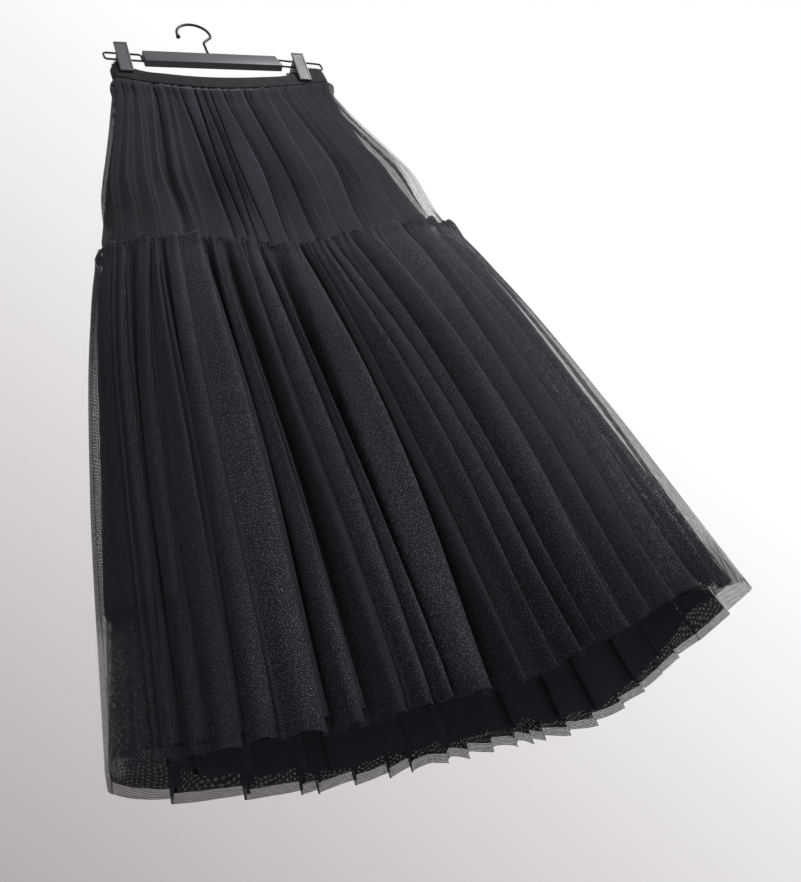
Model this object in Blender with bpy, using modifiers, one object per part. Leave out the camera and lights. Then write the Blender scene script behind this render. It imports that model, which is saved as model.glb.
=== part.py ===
"""A two-tier gathered net skirt that hangs from a clip hanger.

Metres, +Z up, +X along the hanger's bar, -Y towards the viewer of the skirt's front.
The origin is the inside top of the hanger's hook, where a rod or a nail holds it.
Every cloth wall is a sheet over two directions: along the panel, from its left side
seam to its right one, and down the panel. A level is one outline of the skirt seen
from above, and a panel's points lie between an outer and an inner outline: a fold's
crest is near the outer one and a valley on the inner one.
"""
import math
from collections import namedtuple

import bmesh
import bpy
import numpy as np
from mathutils import Matrix

COLLECTION = "tulle_skirt_on_clip_hanger"

# Where the skirt hangs under the hook.
SKIRT_X = 0.017
CORNER_Z = -0.0993

# Cloth.
GAP = 0.0003
BAND_GAP = 0.0008
NET_WALL = 0.0012
LINING_WALL = 0.0012
BAND_WALL = 0.0026
FRONT = -1
BACK = 1

# Outlines from above: half width and centre in X, how far the front and the back reach
# from the side seams, where those are in Y, how much deeper each half is towards its
# right end, the exponent of the superellipse (1 is an ellipse, less is squarer), the
# height of the edge at the side seams and how much lower it is at mid front.
LEVEL_COLUMNS = (
    "half_width centre_x front_depth back_depth seam_y front_swell back_swell squareness "
    "side_z mid_drop"
)
Level = namedtuple("Level", LEVEL_COLUMNS)
SEAM = Level(0.2253, -0.006, 0.060, 0.060, 0.009, 0.10, 0.00, 0.80, CORNER_Z - 0.3276, 0.030)
HEM = Level(0.3292, -0.0036, 0.101, 0.104, 0.024, 0.40, 0.15, 0.75, CORNER_Z - 0.8729, 0.040)
LOWER_BOW = 0.0014

# The hem's rise right of the middle, up at the front and down at the back, and the peak
# of the curve that it follows.
HEM_RISES = {FRONT: 0.020, BACK: -0.020}
RISE_PEAK = 4 / 27

# The seam line's dip: how deep, where its middle is and how wide, as parts of the half width.
SEAM_DIP = 0.018
SEAM_DIP_MIDDLE = -0.12
SEAM_DIP_SPREAD = 0.30

# The waistband's edges and half depth along its width, pinched by the two clips.
BandPoint = namedtuple("BandPoint", "x top foot half_depth")
BAND = (
    BandPoint(-0.1470, -0.007, -0.0275, 0.0066),
    BandPoint(-0.1380, 0.003, -0.0285, 0.0070),
    BandPoint(-0.1320, 0.005, -0.0300, 0.0070),
    BandPoint(-0.1200, -0.008, -0.0330, 0.0070),
    BandPoint(-0.1050, -0.016, -0.0375, 0.0078),
    BandPoint(-0.0850, -0.022, -0.0430, 0.0100),
    BandPoint(-0.0460, -0.029, -0.0505, 0.0120),
    BandPoint(0.0000, -0.030, -0.0515, 0.0124),
    BandPoint(0.0460, -0.025, -0.0460, 0.0112),
    BandPoint(0.0850, -0.016, -0.0370, 0.0084),
    BandPoint(0.1010, -0.009, -0.0330, 0.0072),
    BandPoint(0.1200, 0.000, -0.0285, 0.0070),
    BandPoint(0.1380, 0.003, -0.0260, 0.0074),
    BandPoint(0.1470, -0.003, -0.0255, 0.0066),
)
BAND_END_RADIUS = 0.0066
BAND_COLUMNS = 104

# Folds on the front: where the crest is at the top and at the foot of its tier, as a
# fraction of the half width, and how far the crest lies behind the outer outline.
Fold = namedtuple("Fold", "top foot set_back")
UPPER_FOLDS = (
    Fold(-0.95, -0.93, 0.000),
    Fold(-0.85, -0.80, 0.001),
    Fold(-0.71, -0.66, 0.000),
    Fold(-0.58, -0.56, 0.001),
    Fold(-0.48, -0.44, 0.001),
    Fold(-0.38, -0.34, 0.000),
    Fold(-0.28, -0.25, 0.001),
    Fold(-0.15, -0.14, 0.002),
    Fold(-0.05, -0.05, 0.000),
    Fold(0.06, 0.05, 0.001),
    Fold(0.18, 0.17, 0.002),
    Fold(0.31, 0.28, 0.000),
    Fold(0.44, 0.39, 0.001),
    Fold(0.58, 0.52, 0.000),
    Fold(0.72, 0.67, 0.002),
    Fold(0.85, 0.81, 0.000),
    Fold(0.96, 0.94, 0.000),
)
LOWER_FOLDS = (
    Fold(-0.970, -0.965, 0.000),
    Fold(-0.880, -0.875, 0.008),
    Fold(-0.775, -0.780, 0.004),
    Fold(-0.680, -0.670, 0.000),
    Fold(-0.570, -0.565, 0.000),
    Fold(-0.470, -0.455, 0.002),
    Fold(-0.375, -0.350, 0.006),
    Fold(-0.290, -0.255, 0.000),
    Fold(-0.220, -0.180, 0.004),
    Fold(-0.120, -0.095, 0.000),
    Fold(-0.015, 0.000, 0.009),
    Fold(0.060, 0.085, 0.002),
    Fold(0.130, 0.165, 0.000),
    Fold(0.205, 0.235, 0.003),
    Fold(0.330, 0.350, 0.000),
    Fold(0.425, 0.440, 0.002),
    Fold(0.530, 0.530, 0.007),
    Fold(0.640, 0.635, 0.000),
    Fold(0.745, 0.740, 0.003),
    Fold(0.850, 0.860, 0.001),
    Fold(0.960, 0.965, 0.000),
)
BACK_UPPER_FOLDS = 16
BACK_LOWER_FOLDS = 19
UNDER_FOLDS = 13
LINING_FOLDS = 7

# Rows of each panel. down is 0 at the tier's top edge and 1 at its foot; the other
# columns are how far in the crests and the valleys lie, at mid front and at the sides.
Row = namedtuple("Row", "down crest side_crest valley side_valley")
UPPER_ROWS = (
    Row(0.00, 0.0000, 0.0000, 0.0020, 0.0018),
    Row(0.22, -0.0015, -0.0020, 0.0060, 0.0036),
    Row(0.60, -0.0035, -0.0090, 0.0085, 0.0000),
    Row(0.95, 0.0047, 0.0047, 0.0086, 0.0076),
    Row(1.00, 0.0047, 0.0047, 0.0080, 0.0070),
)
LOWER_ROWS = (
    Row(-0.010, 0.0000, 0.0000, 0.0030, 0.0028),
    Row(0.025, -0.0020, -0.0020, 0.0036, 0.0034),
    Row(0.180, -0.0085, -0.0085, 0.0120, 0.0060),
    Row(0.550, -0.0080, -0.0080, 0.0200, 0.0080),
    Row(1.000, 0.0000, 0.0000, 0.0260, 0.0100),
)
UNDER_ROWS = (
    Row(0.000, 0.0047, 0.0047, 0.0080, 0.0070),
    Row(0.180, 0.0160, 0.0095, 0.0240, 0.0120),
    Row(0.550, 0.0240, 0.0115, 0.0360, 0.0150),
    Row(0.985, 0.0300, 0.0140, 0.0440, 0.0180),
)
LINING_UPPER_ROWS = (
    Row(0.000, 0.0036, 0.0036, 0.0036, 0.0036),
    Row(0.220, 0.0100, 0.0076, 0.0100, 0.0076),
    Row(0.900, 0.0124, 0.0110, 0.0124, 0.0110),
)
LINING_LOWER_ROWS = (
    Row(0.020, 0.0130, 0.0112, 0.0130, 0.0112),
    Row(0.180, 0.0290, 0.0160, 0.0300, 0.0160),
    Row(0.720, 0.0440, 0.0200, 0.0460, 0.0200),
)
HEADING_RISE = 0.004
HEADING_FLOOR = 0.4
OUTLINE_STEPS = 1200
MITRE_LIMIT = 0.70
VALLEY_SLOPE = 0.50
SHALLOWEST = 0.0001
GATHER_DEPTH = 0.0010
CREST_ROUNDNESS = 0.8
SET_BACK_SHARE = 0.6

# Waves that make even folds a little uneven: how large, and how far each fold turns them.
# The first two are parts of a fold's width, the last is in metres.
Wave = namedtuple("Wave", "size turn")
SWAY = Wave(0.30, 2.4)
DRIFT = Wave(0.22, 1.7)
RECESS = Wave(0.0015, 2.9)

# Hanger, with heights under the hold point.
WIRE_RADIUS = 0.0013
RAIL_SPACING = 0.0130
RAIL_TURN_RADIUS = 0.004
BORE_CLEARANCE = 0.0004
BAR_CENTRE_X = 0.013
BAR_LENGTH = 0.188
BAR_DEPTH = 0.010
BAR_HEIGHT = 0.0210
BAR_TOP_Z = -0.0680
BAR_SLANT = 0.005
BAR_BEVEL = 0.0008
BORE_DEPTH = 0.034
RAIL_Z = BAR_TOP_Z - 0.5 * BAR_HEIGHT + 0.0010
RAIL_BEND = 0.002

# The rails: which way each runs out of the bar, how far, how much it rises a metre, and
# whether its upper wire goes back into the bar.
Rail = namedtuple("Rail", "name direction reach slope returns")
LEFT_RAIL = Rail("left", -1, 0.050, 0.050, False)
RIGHT_RAIL = Rail("right", 1, 0.060, -0.095, True)

HOOK_WIRE_RADIUS = 0.00175
HOOK_RADIUS = 0.0228
HOOK_SHANK_X = 0.0090
HOOK_SHANK_TOP_Z = -0.0385
HOOK_SEAT = 0.012
HOOK_JOIN_ANGLE = -12
HOOK_TIP_ANGLE = 187

# The ball on the hook's tip: how far under the tip, and how wide.
Ball = namedtuple("Ball", "drop radius")
HOOK_BALL = (Ball(0.0006, 0.0023), Ball(0.0022, 0.0030), Ball(0.0040, 0.0030), Ball(0.0054, 0.0019))

# Clips: where each one sits, its lower lip, and its plates.
Clip = namedtuple("Clip", "rail x lip_z")
CLIPS = (
    Clip(LEFT_RAIL, -0.1108, CORNER_Z - 0.0180),
    Clip(RIGHT_RAIL, 0.1280, CORNER_Z - 0.0255),
)
PLATE_WIDTH = 0.0170
PLATE_HEIGHT = 0.0485
PLATE_THICKNESS = 0.0024
PLATE_LEAN = math.radians(9.0)
PLATE_RIM = 0.0016
PLATE_RIM_DEPTH = 0.0007
PLATE_BEVEL = 0.0006
LIP_HALF_DEPTH = 0.0075
BLOCK_WIDTH = 0.0120
BLOCK_HEIGHT = 0.0090
SPRING_LENGTH = 0.0220
SPRING_RADIUS = 0.0022

# Colour, roughness and metallic value of each material.
Finish = namedtuple("Finish", "colour roughness metallic")
FINISHES = {
    "black_net": Finish((0.020, 0.020, 0.024), 0.75, 0.0),
    "black_lining": Finish((0.012, 0.012, 0.015), 0.80, 0.0),
    "black_elastic": Finish((0.022, 0.022, 0.026), 0.85, 0.0),
    "black_plastic": Finish((0.045, 0.045, 0.055), 0.45, 0.0),
    "dark_wire": Finish((0.060, 0.058, 0.060), 0.30, 0.9),
    "steel": Finish((0.55, 0.55, 0.57), 0.30, 1.0),
}


def clear_scene():
    """Remove what the scene holds before the model is built."""
    for old in list(bpy.data.objects):
        bpy.data.objects.remove(old, do_unlink=True)


def new_collection(name):
    """Return a new collection in the scene."""
    group = bpy.data.collections.new(name)
    bpy.context.scene.collection.children.link(group)
    return group


def material(name, piece):
    """Give a piece its own Principled material with one of the finishes."""
    finish = FINISHES[name]
    made = bpy.data.materials.new(f"{name}_{piece}")
    made.use_nodes = True
    shader = made.node_tree.nodes["Principled BSDF"]
    shader.inputs["Base Color"].default_value = (*finish.colour, 1.0)
    shader.inputs["Roughness"].default_value = finish.roughness
    shader.inputs["Metallic"].default_value = finish.metallic
    made.diffuse_color = (*finish.colour, 1.0)
    return made


def add_mesh(name, mesh_builder, group, finish):
    """Make an object from a bmesh that is filled in by mesh_builder."""
    mesh = bpy.data.meshes.new(name)
    shape = bmesh.new()
    mesh_builder(shape)
    shape.to_mesh(mesh)
    shape.free()
    piece = bpy.data.objects.new(name, mesh)
    group.objects.link(piece)
    if finish:
        mesh.materials.append(material(finish, name))
    return piece


def shade(piece, degrees=40):
    """Shade a piece smooth, with its sharp edges kept."""
    piece.data.shade_smooth()
    piece.data.set_sharp_from_angle(angle=math.radians(degrees))


# ---------------------------------------------------------------- outlines


def smooth_column(table, column, x):
    """Read a column of a table at x, along a smooth curve through its rows."""
    places = np.array([row.x for row in table])
    values = np.array([getattr(row, column) for row in table])
    slopes = np.gradient(values, places)
    index = np.clip(np.searchsorted(places, x) - 1, 0, len(places) - 2)
    span = places[index + 1] - places[index]
    part = np.clip((x - places[index]) / span, 0.0, 1.0)
    start = (1 + 2 * part) * (1 - part) ** 2 * values[index]
    start_slope = part * (1 - part) ** 2 * span * slopes[index]
    end = part**2 * (3 - 2 * part) * values[index + 1]
    end_slope = part**2 * (part - 1) * span * slopes[index + 1]
    return start + start_slope + end + end_slope


def level_outline(level, side, width_inset, depth_inset):
    """Half of a level's outline, from the left side seam to the right one."""
    turn = np.linspace(math.pi, 0.0, OUTLINE_STEPS)
    cosine = np.cos(turn)
    along = np.sign(cosine) * np.abs(cosine) ** level.squareness
    reach = np.abs(np.sin(turn)) ** level.squareness
    front = side == FRONT
    depth = level.front_depth if front else level.back_depth
    swell = level.front_swell if front else level.back_swell
    x = level.centre_x + (level.half_width - width_inset) * along
    return x, level.seam_y + side * (depth - depth_inset) * reach * (1 + swell * along)


def band_outline(side, width_inset, depth_inset):
    """Half of the waistband's outline, pinched where the clips hold it."""
    half_width = BAND[-1].x
    turn = np.linspace(math.pi, 0.0, OUTLINE_STEPS)
    x_outside = half_width * np.cos(turn)
    past_end = np.abs(x_outside) - (half_width - BAND_END_RADIUS)
    rounding = np.sqrt(np.clip(1 - (past_end.clip(0) / BAND_END_RADIUS) ** 2, 0, 1))
    depth = (smooth_column(BAND, "half_depth", x_outside) - depth_inset) * rounding
    return x_outside * (1 - width_inset / half_width), side * depth


def along_outline(x, y):
    """The fraction of its length at each point of a half outline."""
    steps = np.hypot(np.diff(x), np.diff(y))
    length = np.concatenate(([0.0], np.cumsum(steps)))
    return length / length[-1]


def read_outline(outline, fractions):
    """Points at the given fractions of a half outline's length."""
    x, y = outline
    places = along_outline(x, y)
    return np.interp(fractions, places, x), np.interp(fractions, places, y)


def fraction_at(outline, reach):
    """Turn places given as parts of the half width into fractions of the outline."""
    x, y = outline
    centre = 0.5 * (x[0] + x[-1])
    return np.interp(centre + np.asarray(reach) * (x[-1] - centre), x, along_outline(x, y))


def level_height(level, x):
    """Height of a seam or hem line, lower at mid front than at the side seams."""
    along = np.clip((x - level.centre_x) / level.half_width, -1, 1)
    return level.side_z - level.mid_drop * (1 - along**2)


# ---------------------------------------------------------------- folds


def even_folds(count, shift):
    """Folds spread evenly over a panel, with a slow uneven drift."""
    folds = []
    for number in range(count):
        middle = 2 * (number + 0.5) / count - 1
        sway = SWAY.size / count * math.sin(SWAY.turn * number + shift)
        drift = DRIFT.size / count * math.sin(DRIFT.turn * number + 2 * shift)
        set_back = RECESS.size * (1 + math.sin(RECESS.turn * number + shift))
        folds.append(Fold(middle + sway, middle + sway + drift, set_back))
    return tuple(folds)


def crest_fractions(folds, even, outline, column):
    """Fractions of a half outline where the crests lie."""
    reach = [getattr(fold, column) for fold in folds]
    if even:
        return (np.asarray(reach) + 1) / 2
    return fraction_at(outline, reach)


def spread_columns(crests, samples):
    """Column places over the folds, with each column's phase in its own fold."""
    valleys = np.concatenate(([0.0], (crests[1:] + crests[:-1]) / 2, [1.0]))
    places = []
    for number, crest in enumerate(crests):
        for sample in range(samples):
            phase = sample / samples * 2 - 1
            if phase < 0:
                places.append(crest + phase * (crest - valleys[number]))
            else:
                places.append(crest + phase * (valleys[number + 1] - crest))
    places.append(1.0)
    return np.array(places)


def fold_lift(folds, samples):
    """How near each column is to its crest, from 0 in a valley to 1, and its set-back."""
    phase = np.arange(len(folds) * samples + 1) / samples * 2 * math.pi - math.pi
    lift = (0.5 + 0.5 * np.cos(phase)) ** CREST_ROUNDNESS
    set_back = np.repeat([fold.set_back for fold in folds], samples)
    return lift, np.append(set_back, 0.0)


def valley_room(crests, samples, length):
    """The deepest that each column's valley may be, by the space between its crests."""
    spaces = np.concatenate((crests[:1] * 2, np.diff(crests), (1 - crests[-1:]) * 2)) * length
    half = samples - samples // 2
    room = []
    for number in range(len(crests)):
        room += [spaces[number]] * half + [spaces[number + 1]] * (samples - half)
    return np.array(room + [spaces[-1]]) * VALLEY_SLOPE


def tier_surface(tier, side, rows, folds, even, samples, gathers):
    """Points of a panel, one array of columns for each row.

    tier gives the outlines at its top and foot and their heights. gathers is the
    depth of a second, finer ripple that fades down the panel.
    """
    lift, set_back = fold_lift(folds, samples)
    places = {}
    rooms = {}
    for column, outline_of in (("top", tier.top), ("foot", tier.foot)):
        outline = outline_of(side, 0.0, 0.0)
        crests = crest_fractions(folds, even, outline, column)
        places[column] = spread_columns(crests, samples)
        length = np.sum(np.hypot(np.diff(outline[0]), np.diff(outline[1])))
        rooms[column] = valley_room(crests, samples, length)
    ripple_phase = np.arange(len(lift)) / samples * 4 * math.pi
    ripple_lift = gathers * lift * (0.5 + 0.5 * np.cos(ripple_phase))
    points = []
    for row in rows:
        down = min(max(row.down, 0.0), 1.0)
        mix = (1 - down) * places["top"] + down * places["foot"]
        inward = 1 - np.abs(2 * mix - 1) ** 3
        rings = []
        for insets in ((row.side_crest, row.crest), (row.side_valley, row.valley)):
            top_x, top_y = read_outline(tier.top(side, *insets), mix)
            foot_x, foot_y = read_outline(tier.foot(side, *insets), mix)
            rings.append(((1 - down) * top_x + down * foot_x, (1 - down) * top_y + down * foot_y))
        depth = max(row.valley - row.crest, SHALLOWEST)
        widest = (1 - down) * rooms["top"] + down * rooms["foot"]
        sunk = (1 - lift) * np.clip(widest / depth, 0, 1)
        sunk += lift * np.clip(set_back * down * inward / depth, 0, SET_BACK_SHARE)
        sunk += ripple_lift * inward * (1 - down) ** 2 / depth
        sunk = np.clip(sunk, 0, 1)
        x = rings[0][0] * (1 - sunk) + rings[1][0] * sunk
        y = rings[0][1] * (1 - sunk) + rings[1][1] * sunk
        z = (1 - row.down) * tier.top_z(x, side) + row.down * tier.foot_z(x, side)
        if row.down < 0:
            z = tier.top_z(x, side) + HEADING_RISE * (HEADING_FLOOR + lift)
        shift = SKIRT_X + tier.bow * 4 * down * (1 - down)
        points.append(np.stack([x + shift, y, z], axis=1))
    points = np.array(points)
    points[:, 0, 1] += side * 0.5 * GAP
    points[:, -1, 1] += side * 0.5 * GAP
    return points


Tier = namedtuple("Tier", "top foot top_z foot_z bow")


def outline_at(level):
    """An outline function for a level, as the tiers call it."""

    def outline(side, width_inset, depth_inset):
        return level_outline(level, side, width_inset, depth_inset)

    return outline


def band_foot_z(x, _side):
    """Height of the waistband's lower edge, and of what hangs just under it."""
    reach = np.clip(x, BAND[0].x, BAND[-1].x)
    return CORNER_Z + smooth_column(BAND, "foot", reach) - BAND_GAP


def seam_z(x, _side):
    """Height of the seam between the tiers, which dips a little left of the middle."""
    off_middle = (x / SEAM.half_width - SEAM_DIP_MIDDLE) / SEAM_DIP_SPREAD
    return level_height(SEAM, x) - SEAM_DIP * np.exp(-(off_middle**2))


def hem_z(x, side):
    """Height of the hem, whose right half tips up at the front."""
    along = np.clip((x - HEM.centre_x) / HEM.half_width, 0, 1)
    return level_height(HEM, x) + HEM_RISES[side] * (along * (1 - along**2)) ** 2 / RISE_PEAK


UPPER_TIER = Tier(band_outline, outline_at(SEAM), band_foot_z, seam_z, 0.0)
LOWER_TIER = Tier(outline_at(SEAM), outline_at(HEM), seam_z, hem_z, LOWER_BOW)


def inner_points(points, side, wall):
    """The wall's inside: each row moved in by the wall, square to its own outline.

    Past each side seam the row is mirrored, so the panel's ends stay in their plane.
    """
    first = points[:, 1:2] * (1, -1, 1) + points[:, :1] * (0, 2, 0)
    last = points[:, -2:-1] * (1, -1, 1) + points[:, -1:] * (0, 2, 0)
    path = np.concatenate([first, points, last], axis=1)[:, :, :2]
    step = np.diff(path, axis=1)
    step /= np.linalg.norm(step, axis=2, keepdims=True)
    square = -side * np.stack([-step[:, :, 1], step[:, :, 0]], axis=2)
    middle = square[:, 1:] + square[:, :-1]
    middle /= np.linalg.norm(middle, axis=2, keepdims=True)
    turn = np.sum(middle * square[:, 1:], axis=2, keepdims=True).clip(MITRE_LIMIT, 1.0)
    inside = points.copy()
    inside[:, :, :2] += wall * middle / turn
    return inside


def sheet(name, points, group, finish, wall, side):
    """A thin wall on a grid of points, with its inside moved in by the wall."""
    rows, columns, _axes = points.shape
    inside = inner_points(points, side, wall)

    def build(shape):
        place = shape.verts.layers.int.new("place")
        grid = bmesh.ops.create_grid(shape, x_segments=columns - 1, y_segments=rows - 1, size=1)
        for vert in grid["verts"]:
            column = round((vert.co.x + 1) / 2 * (columns - 1))
            row = round((1 - vert.co.y) / 2 * (rows - 1))
            vert[place] = row * columns + column
            vert.co = points[row, column]
        copied = bmesh.ops.extrude_face_region(shape, geom=list(shape.faces), use_keep_orig=True)
        for item in copied["geom"]:
            if isinstance(item, bmesh.types.BMVert):
                row, column = divmod(item[place], columns)
                item.co = inside[row, column]
        bmesh.ops.recalc_face_normals(shape, faces=shape.faces)

    piece = add_mesh(name, build, group, finish)
    shade(piece, 60)
    return piece


def make_waistband(group):
    """The elastic casing: one loop, with its upper edge sagging between the clips."""
    half = BAND_COLUMNS // 2
    fractions = np.arange(half) / half
    front_x, front_y = read_outline(band_outline(FRONT, 0, 0), fractions)
    back_x, back_y = read_outline(band_outline(BACK, 0, 0), fractions)
    x = np.concatenate([front_x, -back_x[:1], back_x[:0:-1]])
    y = np.concatenate([front_y, back_y[:1], back_y[:0:-1]])
    top = CORNER_Z + smooth_column(BAND, "top", x)
    foot = CORNER_Z + smooth_column(BAND, "foot", x)

    def build(shape):
        ring = bmesh.ops.create_circle(shape, segments=BAND_COLUMNS, radius=1.0)["verts"]
        ring.sort(key=lambda vert: math.atan2(vert.co.y, vert.co.x) % (2 * math.pi))
        height = {}
        for number, vert in enumerate(ring):
            vert.co = (x[number] + SKIRT_X, y[number], top[number])
            height[vert.co.xy.to_tuple()] = foot[number]
        grown = bmesh.ops.extrude_edge_only(shape, edges=list(shape.edges))["geom"]
        for item in grown:
            if isinstance(item, bmesh.types.BMVert):
                item.co.z = height[item.co.xy.to_tuple()]
        bmesh.ops.recalc_face_normals(shape, faces=shape.faces)
        if sum(face.normal.y * face.calc_center_median().y for face in shape.faces) < 0:
            bmesh.ops.reverse_faces(shape, faces=shape.faces)

    piece = add_mesh("waistband", build, group, "black_elastic")
    thick = piece.modifiers.new("wall", "SOLIDIFY")
    thick.thickness = BAND_WALL
    thick.offset = -1
    thick.use_even_offset = True
    shade(piece, 50)


def make_cloth(group):
    """All walls of net and lining, front and back."""
    back_upper = even_folds(BACK_UPPER_FOLDS, 0.6)
    back_lower = even_folds(BACK_LOWER_FOLDS, 1.9)
    for side, label in ((FRONT, "front"), (BACK, "back")):
        even = side == BACK
        upper_folds = back_upper if even else UPPER_FOLDS
        points = tier_surface(UPPER_TIER, side, UPPER_ROWS, upper_folds, even, 8, GATHER_DEPTH)
        sheet(f"upper_tier_{label}", points, group, "black_net", NET_WALL, side)
        lower_folds = back_lower if even else LOWER_FOLDS
        points = tier_surface(LOWER_TIER, side, LOWER_ROWS, lower_folds, even, 6, 0.0)
        sheet(f"lower_tier_{label}", points, group, "black_net", NET_WALL, side)
        under_folds = even_folds(UNDER_FOLDS, 0.9 + side)
        points = tier_surface(LOWER_TIER, side, UNDER_ROWS, under_folds, True, 5, 0.0)
        points[0, :, 2] -= GAP
        sheet(f"under_layer_{label}", points, group, "black_net", NET_WALL, side)
        lining_folds = even_folds(LINING_FOLDS, 2.0)
        above = tier_surface(UPPER_TIER, side, LINING_UPPER_ROWS, lining_folds, True, 4, 0.0)
        below = tier_surface(LOWER_TIER, side, LINING_LOWER_ROWS, lining_folds, True, 4, 0.0)
        points = np.concatenate([above, below])
        sheet(f"lining_{label}", points, group, "black_lining", LINING_WALL, side)


# ---------------------------------------------------------------- hanger


def add_wire(name, route, radius, group, finish, radii=None):
    """A wire along a route, as a curve with filled caps."""
    curve = bpy.data.curves.new(name, "CURVE")
    curve.dimensions = "3D"
    curve.bevel_depth = radius
    curve.bevel_resolution = 2
    curve.use_fill_caps = True
    spline = curve.splines.new("POLY")
    spline.points.add(len(route) - 1)
    for number, place in enumerate(route):
        spline.points[number].co = (*place, 1.0)
        spline.points[number].radius = radii[number] if radii else 1.0
    curve.materials.append(material(finish, name))
    piece = bpy.data.objects.new(name, curve)
    group.objects.link(piece)
    return piece


def arc(centre, radius, start, end, steps):
    """Points of an arc, by its angle in degrees from the first axis."""
    places = []
    for step in range(steps + 1):
        angle = math.radians(start + (end - start) * step / steps)
        out = centre[0] + radius * math.cos(angle)
        places.append((out, centre[1] + radius * math.sin(angle)))
    return places


def make_hook(group):
    """The hook: a straight shank, a kink and most of a circle, with a ball on its tip."""
    centre = (0.0, HOOK_WIRE_RADIUS - HOOK_RADIUS)
    seat = BAR_TOP_Z - HOOK_SEAT + GAP
    route = [(HOOK_SHANK_X, seat), (HOOK_SHANK_X, HOOK_SHANK_TOP_Z)]
    route += arc(centre, HOOK_RADIUS, HOOK_JOIN_ANGLE, HOOK_TIP_ANGLE, 20)
    radii = [1.0] * len(route)
    tip_x, tip_z = route[-1]
    for ball in HOOK_BALL:
        route.append((tip_x, tip_z - ball.drop))
        radii.append(ball.radius / HOOK_WIRE_RADIUS)
    route = [(x, 0.0, z) for x, z in route]
    add_wire("hanger_hook", route, HOOK_WIRE_RADIUS, group, "dark_wire", radii)


def rail_z(rail, x):
    """Height of a rail's middle line at x: level in the bar, sloping past its end."""
    bend_x = BAR_CENTRE_X + rail.direction * (0.5 * BAR_LENGTH + RAIL_BEND)
    return RAIL_Z + max((x - bend_x) * rail.direction, 0.0) * rail.slope


def rail_route(rail):
    """A wire rail: out along the lower bore, round its end and back above."""
    half = 0.5 * RAIL_SPACING
    straight = half - RAIL_TURN_RADIUS
    turn_out = rail.reach - RAIL_TURN_RADIUS
    inside = RAIL_BEND - BORE_DEPTH
    flat = [(inside, -half), (RAIL_BEND, -half)]
    flat += arc((turn_out, -straight), RAIL_TURN_RADIUS, -90, 0, 4)
    flat += arc((turn_out, straight), RAIL_TURN_RADIUS, 0, 90, 4)
    if rail.returns:
        flat += [(RAIL_BEND, half), (inside, half)]
    else:
        near = RAIL_BEND + RAIL_TURN_RADIUS
        flat += arc((near, straight), RAIL_TURN_RADIUS, 90, 180, 3)
        flat.append((RAIL_BEND, -half + 2 * WIRE_RADIUS + GAP))
    end_x = BAR_CENTRE_X + rail.direction * 0.5 * BAR_LENGTH
    route = []
    for out, height in flat:
        x = end_x + rail.direction * out
        route.append((x, 0.0, rail_z(rail, x) + height))
    return route


def cut(piece, cutters):
    """Take the cutters out of a piece."""
    for number, cutter in enumerate(cutters):
        hole = piece.modifiers.new(f"bore_{number}", "BOOLEAN")
        hole.operation = "DIFFERENCE"
        hole.object = cutter


def add_bore(name, radius, length, place, axis, cutters, tilt=0.0):
    """A hidden cylinder that cuts a bore, along X or Z, tilted in the XZ plane."""

    def build(shape):
        bmesh.ops.create_cone(
            shape, cap_ends=True, segments=12, radius1=radius, radius2=radius, depth=length
        )
        if axis == "X":
            quarter = Matrix.Rotation(math.pi / 2, 3, "Y")
            bmesh.ops.rotate(shape, verts=shape.verts, matrix=quarter)

    bore = add_mesh(name, build, cutters, None)
    bore.location = place
    bore.rotation_euler = (0.0, tilt, 0.0)
    bore.hide_render = True
    bore.display_type = "WIRE"
    return bore


def make_bar(group, cutters):
    """The moulded bar, bored for the rails and for the hook's shank."""

    def build(shape):
        bmesh.ops.create_cube(shape, size=1.0)
        bmesh.ops.scale(shape, vec=(BAR_LENGTH, BAR_DEPTH, BAR_HEIGHT), verts=shape.verts)
        for vert in shape.verts:
            if vert.co.x > 0 and vert.co.z > 0:
                vert.co.x -= BAR_SLANT
        edges = list(shape.edges)
        bmesh.ops.bevel(shape, geom=edges, offset=BAR_BEVEL, segments=1, affect="EDGES", profile=0.5)

    bar = add_mesh("hanger_bar", build, group, "black_plastic")
    bar.location = (BAR_CENTRE_X, 0.0, BAR_TOP_Z - 0.5 * BAR_HEIGHT)
    shade(bar, 30)
    bores = []
    radius = WIRE_RADIUS + BORE_CLEARANCE
    for rail in (LEFT_RAIL, RIGHT_RAIL):
        end_x = BAR_CENTRE_X + rail.direction * 0.5 * BAR_LENGTH
        for height, row in ((-0.5, "low"), (0.5, "high")):
            if row == "high" and not rail.returns:
                continue
            place = (end_x, 0.0, RAIL_Z + height * RAIL_SPACING)
            name = f"bore_{rail.name}_{row}"
            bores.append(add_bore(name, radius, 2 * BORE_DEPTH, place, "X", cutters))
    place = (HOOK_SHANK_X, 0.0, BAR_TOP_Z)
    radius = HOOK_WIRE_RADIUS + BORE_CLEARANCE
    bores.append(add_bore("bore_hook", radius, 2 * HOOK_SEAT, place, "Z", cutters))
    cut(bar, bores)


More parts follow.
